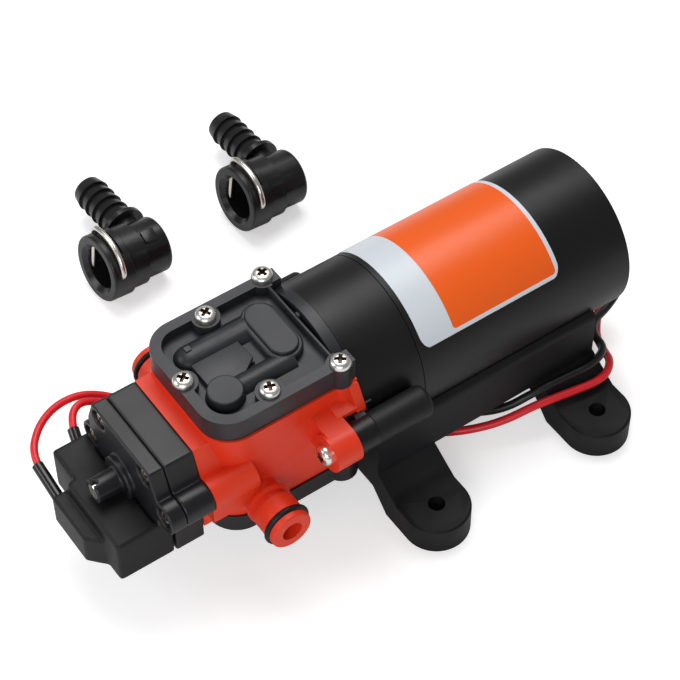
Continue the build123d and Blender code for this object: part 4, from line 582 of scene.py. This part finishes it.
gusset = slab("lug_gusset", (-50.6, -24.2, 46.6), (-43.9, -18.9, 49.6), 0.1)
edit_where(gusset, "VERT", lambda point: point.co.z > 48.5 * MM and point.co.y < -22 * MM)
bpy.ops.transform.translate(value=(0, 0, -1.5 * MM))
leave_edit()
dress(gusset, "pump", [RED_PLASTIC])
fin = plate(
    "flange_fin", [(-17.5, 53.6), (-21.0, 53.6), (-24.6, 47.2), (-24.6, 45.2), (-17.5, 45.2)],
    Matrix.Translation((-41.7 * MM, 0, 0)) @ FACING_FRONT, 2.9, 0.3)
dress(fin, "pump", [RED_PLASTIC])

# The elbows' clips and pad. An elbow's own axes go into its socket, to its barb's side, and up.

ELBOW_INTO = (0.990487, 0.041514, -0.1312)
ELBOW_BARB = (-0.041876, 0.999123, 0)
ELBOW_UP = (0.131086, 0.005494, 0.991356)
MOUTH_X = {"a": -61.2, "b": -12.3}
MOUTH_Y, MOUTH_Z = 86.0, 11.363
CLIP_ALONG, CLIP_RADIUS, CLIP_TIP = 2.9, 0.82, 0.5   # the tip is a share of the wire's radius
CLIP_LINE = [   # to the barb's side and up, from the middle of the mouth
    (5.7, -5.6), (5.7, -1.0), (5.8, 5.0), (6.6, 9.4), (5.0, 11.7), (1.5, 12.2), (-2.6, 12.1),
    (-6.4, 10.6), (-8.8, 8.2), (-10.2, 5.6), (-10.4, 3.8), (-8.8, 2.2),
]


def elbow_spot(letter, side, height, along):
    """A point in mm on an elbow: to its barb's side, up, and in from the middle of its mouth."""
    mouth = (MOUTH_X[letter], MOUTH_Y, MOUTH_Z)
    return tuple(o + side * b + height * u + along * a
                 for o, a, b, u in zip(mouth, ELBOW_INTO, ELBOW_BARB, ELBOW_UP))


for letter in MOUTH_X:
    spots = [elbow_spot(letter, side, height, CLIP_ALONG) for side, height in CLIP_LINE]
    clip = smooth_line("spring_clip_" + letter, spots, CLIP_RADIUS, order=4, steps=12, sides=6)
    clip.data.splines[0].points[-1].radius = CLIP_TIP
    pick(clip)
    bpy.ops.object.convert(target="MESH")
    clip = bpy.context.object
    smooth(clip, 50)
    stand_for(clip, "clip_" + letter, [BRIGHT_WIRE])
pad_plane = (Matrix.Translation(Vector(elbow_spot("a", -3.1, 8.05, 16.3)) * MM)
             @ Matrix((ELBOW_INTO, ELBOW_BARB, ELBOW_UP)).transposed().to_4x4()
             @ Matrix.Rotation(math.radians(21), 4, "X"))
pad = plate(
    "elbow_pad", [(-2.2, 2.0), (-2.2, -1.2), (-1.4, -2.0), (1.4, -2.0), (2.2, -1.2), (2.2, 2.0)],
    pad_plane, 0.55, 0.2)
dress(pad, body_of("elbow_a"), [ELBOW_BLACK])

# The screws. A size is the head's radius and height and the shank's radius and reach, in mm.

COVER_SCREW = (2.9, 2.0, 1.4, 13.4)
LUG_SCREW = (2.9, 2.2, 1.5, 19.6)
SWITCH_SCREW = (2.5, 1.8, 1.4, 16.0)
TOP_SEAT_Z, BOTTOM_SEAT_Z, LUG_SEAT_X, SWITCH_SEAT_X = 61.03, 14.97, -57.03, -99.43
COVER_SPOTS = (   # the places on the seat in mm and the cross's turn in degrees
    (-45.4, 18.1, 12), (-45.4, -18.1, 52), (-65.2, 15.1, 28), (-65.2, -15.1, 70), (-81.7, 0.0, 40),
)
LUG_SPOTS = ((-28.5, 42.4, 25), (28.5, 34.6, 60))
SWITCH_SPOTS = ((-11.0, 48.2, 30), (11.0, 48.2, 65), (-19.6, 39.6, 10), (16.6, 35.8, 48))
screws("top_screws", "top_cover_screws", COVER_SCREW,
       [((x, y, TOP_SEAT_Z), UP, turn) for x, y, turn in COVER_SPOTS])
screws("bottom_screws", "bottom_cover_screws", COVER_SCREW,
       [((x, y, BOTTOM_SEAT_Z), DOWN, turn) for x, y, turn in COVER_SPOTS])
screws("motor_lug_screws", "lug_screws", LUG_SCREW,
       [((LUG_SEAT_X, y, z), FRONT, turn) for y, z, turn in LUG_SPOTS])
screws("switch_flange_screws", "switch_screws", SWITCH_SCREW,
       [((SWITCH_SEAT_X, y, z), FRONT, turn) for y, z, turn in SWITCH_SPOTS])


# Wires and leads. Their points are in mm, the switch's wires from its sleeves to the rear cap,
# and the supply leads from the rear cap to their bare ends.

SWITCH_WIRE_A = [
    (-116.225, 18.9, 27.5), (-116.175, 24.7, 28.9), (-109.9, 32.2, 29.2), (-101.6, 36.6, 28.2),
    (-92.4, 36.6, 26.6), (-83.2, 31.4, 22.0), (-74.2, 27.0, 18.6), (-62.0, 26.3, 19.6),
    (-46.0, 26.4, 22.2), (-22.0, 26.3, 22.4), (8.0, 26.4, 22.3), (30.0, 26.3, 22.6),
    (42.0, 26.0, 26.0), (53.2, 25.4, 32.4), (58.2, 20.7, 33.1), (58.3, 14.0, 33.3),
    (53.6, 9.5, 33.2), (47.33, 9.4, 33.2),
]
SWITCH_WIRE_B = [
    (-103.25, 23.3, 28.0), (-101.825, 28.81, 29.9), (-97.0, 32.4, 30.2), (-91.0, 31.0, 27.4),
    (-83.0, 26.8, 22.2), (-73.0, 24.2, 19.9), (-61.0, 25.6, 22.4), (-46.0, 26.4, 24.7),
    (-20.0, 26.3, 24.9), (10.0, 26.4, 24.8), (31.0, 26.3, 25.1), (40.6, 26.0, 29.0),
    (50.2, 25.4, 35.0), (57.0, 20.4, 36.6), (58.4, 12.8, 36.4), (54.6, 4.7, 35.4),
    (47.33, 4.6, 35.4),
]
RED_LEAD = [
    (47.33, -3.5, 22.4), (53.4, -3.5, 22.4), (57.6, -4.0, 16.8), (57.2, -5.6, 9.8),
    (52.4, -9.8, 5.8), (47.0, -15.8, 5.6), (44.0, -22.6, 8.0), (41.0, -29.4, 11.6),
    (34.6, -33.4, 12.3), (23.2, -31.5, 12.4), (13.6, -29.8, 12.5), (3.4, -27.0, 9.0),
    (-5.4, -22.6, 7.0), (-12.4, -16.6, 4.6), (-15.2, -4.0, 1.5), (-14.6, 10.0, 1.35),
    (-11.0, 23.0, 1.25), (-12.4, 36.0, 1.25),
]
BLACK_LEAD = [
    (47.33, -8.6, 24.6), (54.1, -8.6, 24.6), (60.2, -9.2, 20.0), (60.6, -9.8, 13.2),
    (54.8, -11.4, 9.4), (48.0, -13.2, 9.6), (43.0, -18.6, 11.8), (41.2, -26.2, 14.2),
    (33.0, -29.6, 16.0), (24.6, -28.6, 15.8), (15.0, -27.8, 15.6), (5.0, -24.2, 9.8),
    (-3.6, -14.0, 4.8), (-8.2, -1.0, 1.6), (-8.6, 12.6, 1.3), (-4.4, 25.0, 1.25),
    (-3.2, 38.0, 1.25),
]
SWITCH_WIRE, SUPPLY_LEAD = 2.2, 2.4   # diameters in mm
CAP_FACE_X = 47.3                     # the rear cap's face, which the collars stand on
COLLAR_LENGTH, COLLAR_WALL = 2.4, 0.75


def lead_collar(lead_radius):
    """A tapered collar round a lead where it comes out of the motor's end cap."""
    leave_edit()
    bpy.ops.mesh.primitive_cylinder_add(
        vertices=40, radius=(lead_radius + COLLAR_WALL) * MM, depth=COLLAR_LENGTH * MM,
        location=(0, 0, COLLAR_LENGTH / 2 * MM))
    collar = bpy.context.object
    settle(collar)
    edit_top(collar, COLLAR_LENGTH * MM)
    bpy.ops.transform.resize(value=(0.78, 0.78, 1))
    bpy.ops.mesh.inset(thickness=0.3 * MM)
    bpy.ops.transform.translate(value=(0, 0, -0.5 * MM))
    leave_edit()
    round_edges(collar, 0.15)
    smooth(collar)
    return collar


collars = []
for diameter, ends in ((SUPPLY_LEAD, (RED_LEAD[0], BLACK_LEAD[0])),
                       (SWITCH_WIRE, (SWITCH_WIRE_A[-1], SWITCH_WIRE_B[-1]))):
    collars.append(copies_at(lead_collar(diameter / 2), "collars",
                             [((CAP_FACE_X, y, z), REAR, 0) for x, y, z in ends]))
dress(join_pieces(collars, "lead_collars"), "pump", [SOFT_BLACK])


def line_length(curve):
    """The length of a curve's own line, in metres."""
    bare = curve.copy()
    bare.bevel_depth = 0
    probe = bpy.data.objects.new("probe", bare)
    path = bpy.data.meshes.new_from_object(probe)
    length = 0.0
    for edge in path.edges:
        a, b = (path.vertices[i].co for i in edge.vertices)
        length += (a - b).length
    bpy.data.objects.remove(probe)
    bpy.data.meshes.remove(path)
    bpy.data.curves.remove(bare)
    return length


def wire(node, points, diameter, material):
    """A free wire or lead on the pump, in place of its CAD node."""
    piece = smooth_line(node + "_line", points, diameter / 2, order=3, steps=16, sides=8)
    dress(piece, "pump", [material], [node])
    bpy.context.view_layer.update()
    line_length(piece.data)


wire("switch_wire_a", SWITCH_WIRE_A, SWITCH_WIRE, RED_WIRE)
wire("switch_wire_b", SWITCH_WIRE_B, SWITCH_WIRE, RED_WIRE)
wire("red_lead", RED_LEAD, SUPPLY_LEAD, RED_WIRE)
wire("black_lead", BLACK_LEAD, SUPPLY_LEAD, BLACK_WIRE)


# Floor, light and camera

leave_edit()
bpy.ops.mesh.primitive_plane_add(size=6.0, location=(0, 0, 0))
floor = bpy.context.object
floor.name = "floor"
settle(floor)
paper, paper_tree, paper_shader = new_material("white_paper")
paper_shader["Base Color"].default_value = (0.86, 0.86, 0.86, 1)
paper_shader["Roughness"].default_value = 0.9
paper_shader["Specular IOR Level"].default_value = 0.0
paper_shader["Emission Color"].default_value = (1, 1, 1, 1)
seen = node_in(paper_tree, "ShaderNodeLightPath").outputs["Is Camera Ray"]
paper_tree.links.new(calc(paper_tree, "MULTIPLY", seen, 0.5), paper_shader["Emission Strength"])
floor.data.materials.append(paper)

world = bpy.data.worlds.new("studio")
bpy.context.scene.world = world
world.use_nodes = True
sky = world.node_tree.nodes["Background"].inputs
sky["Color"].default_value = (1, 1, 1, 1)
sky["Strength"].default_value = 0.24


def soft_light(name, place, aim, size, power):
    """A square or oblong lamp at a place in metres that shines at a point."""
    lamp = bpy.data.lights.new(name, "AREA")
    lamp.shape = "RECTANGLE"
    lamp.size, lamp.size_y = size
    lamp.energy = power
    holder = in_scene(name, lamp)
    holder.location = place
    holder.rotation_euler = (Vector(aim) - Vector(place)).to_track_quat("-Z", "Y").to_euler()


soft_light("key", (0.15, 0.3, 0.85), (-0.02, 0, 0.03), (0.6, 0.6), 4.8)
soft_light("fill", (-0.6, -0.6, 0.5), (-0.03, 0, 0.03), (0.6, 0.4), 3.2)
soft_light("side", (-0.7, 0.35, 0.45), (-0.03, 0, 0.03), (0.4, 0.4), 1.6)

PICTURE_SIDE, FOCAL_LENGTH = 680, 2205.97    # in the photograph's pixels
SENSOR = 36.0                                # in mm, as is the next line
AIM, DISTANCE = Vector((-26.44, 9.42, 30.0)), 612.36
azimuth, elevation, roll = math.radians(-34.65), math.radians(50.46), math.radians(-0.4)
backward = Vector((math.sin(azimuth) * math.cos(elevation),
                   -math.cos(azimuth) * math.cos(elevation), math.sin(elevation)))
level = Vector((math.cos(azimuth), math.sin(azimuth), 0))
upright = backward.cross(level)
across = level * math.cos(roll) + upright * math.sin(roll)
upward = upright * math.cos(roll) - level * math.sin(roll)
lens = bpy.data.cameras.new("camera")
lens.sensor_width = SENSOR
lens.lens = FOCAL_LENGTH / PICTURE_SIDE * SENSOR
lens.clip_start = 0.01
camera = in_scene("camera", lens)
camera.matrix_world = (Matrix.Translation(AIM * MM + backward * DISTANCE * MM)
                       @ Matrix((across, upward, backward)).transposed().to_4x4())
bpy.context.scene.camera = camera
bpy.context.scene.view_settings.view_transform = "Standard"
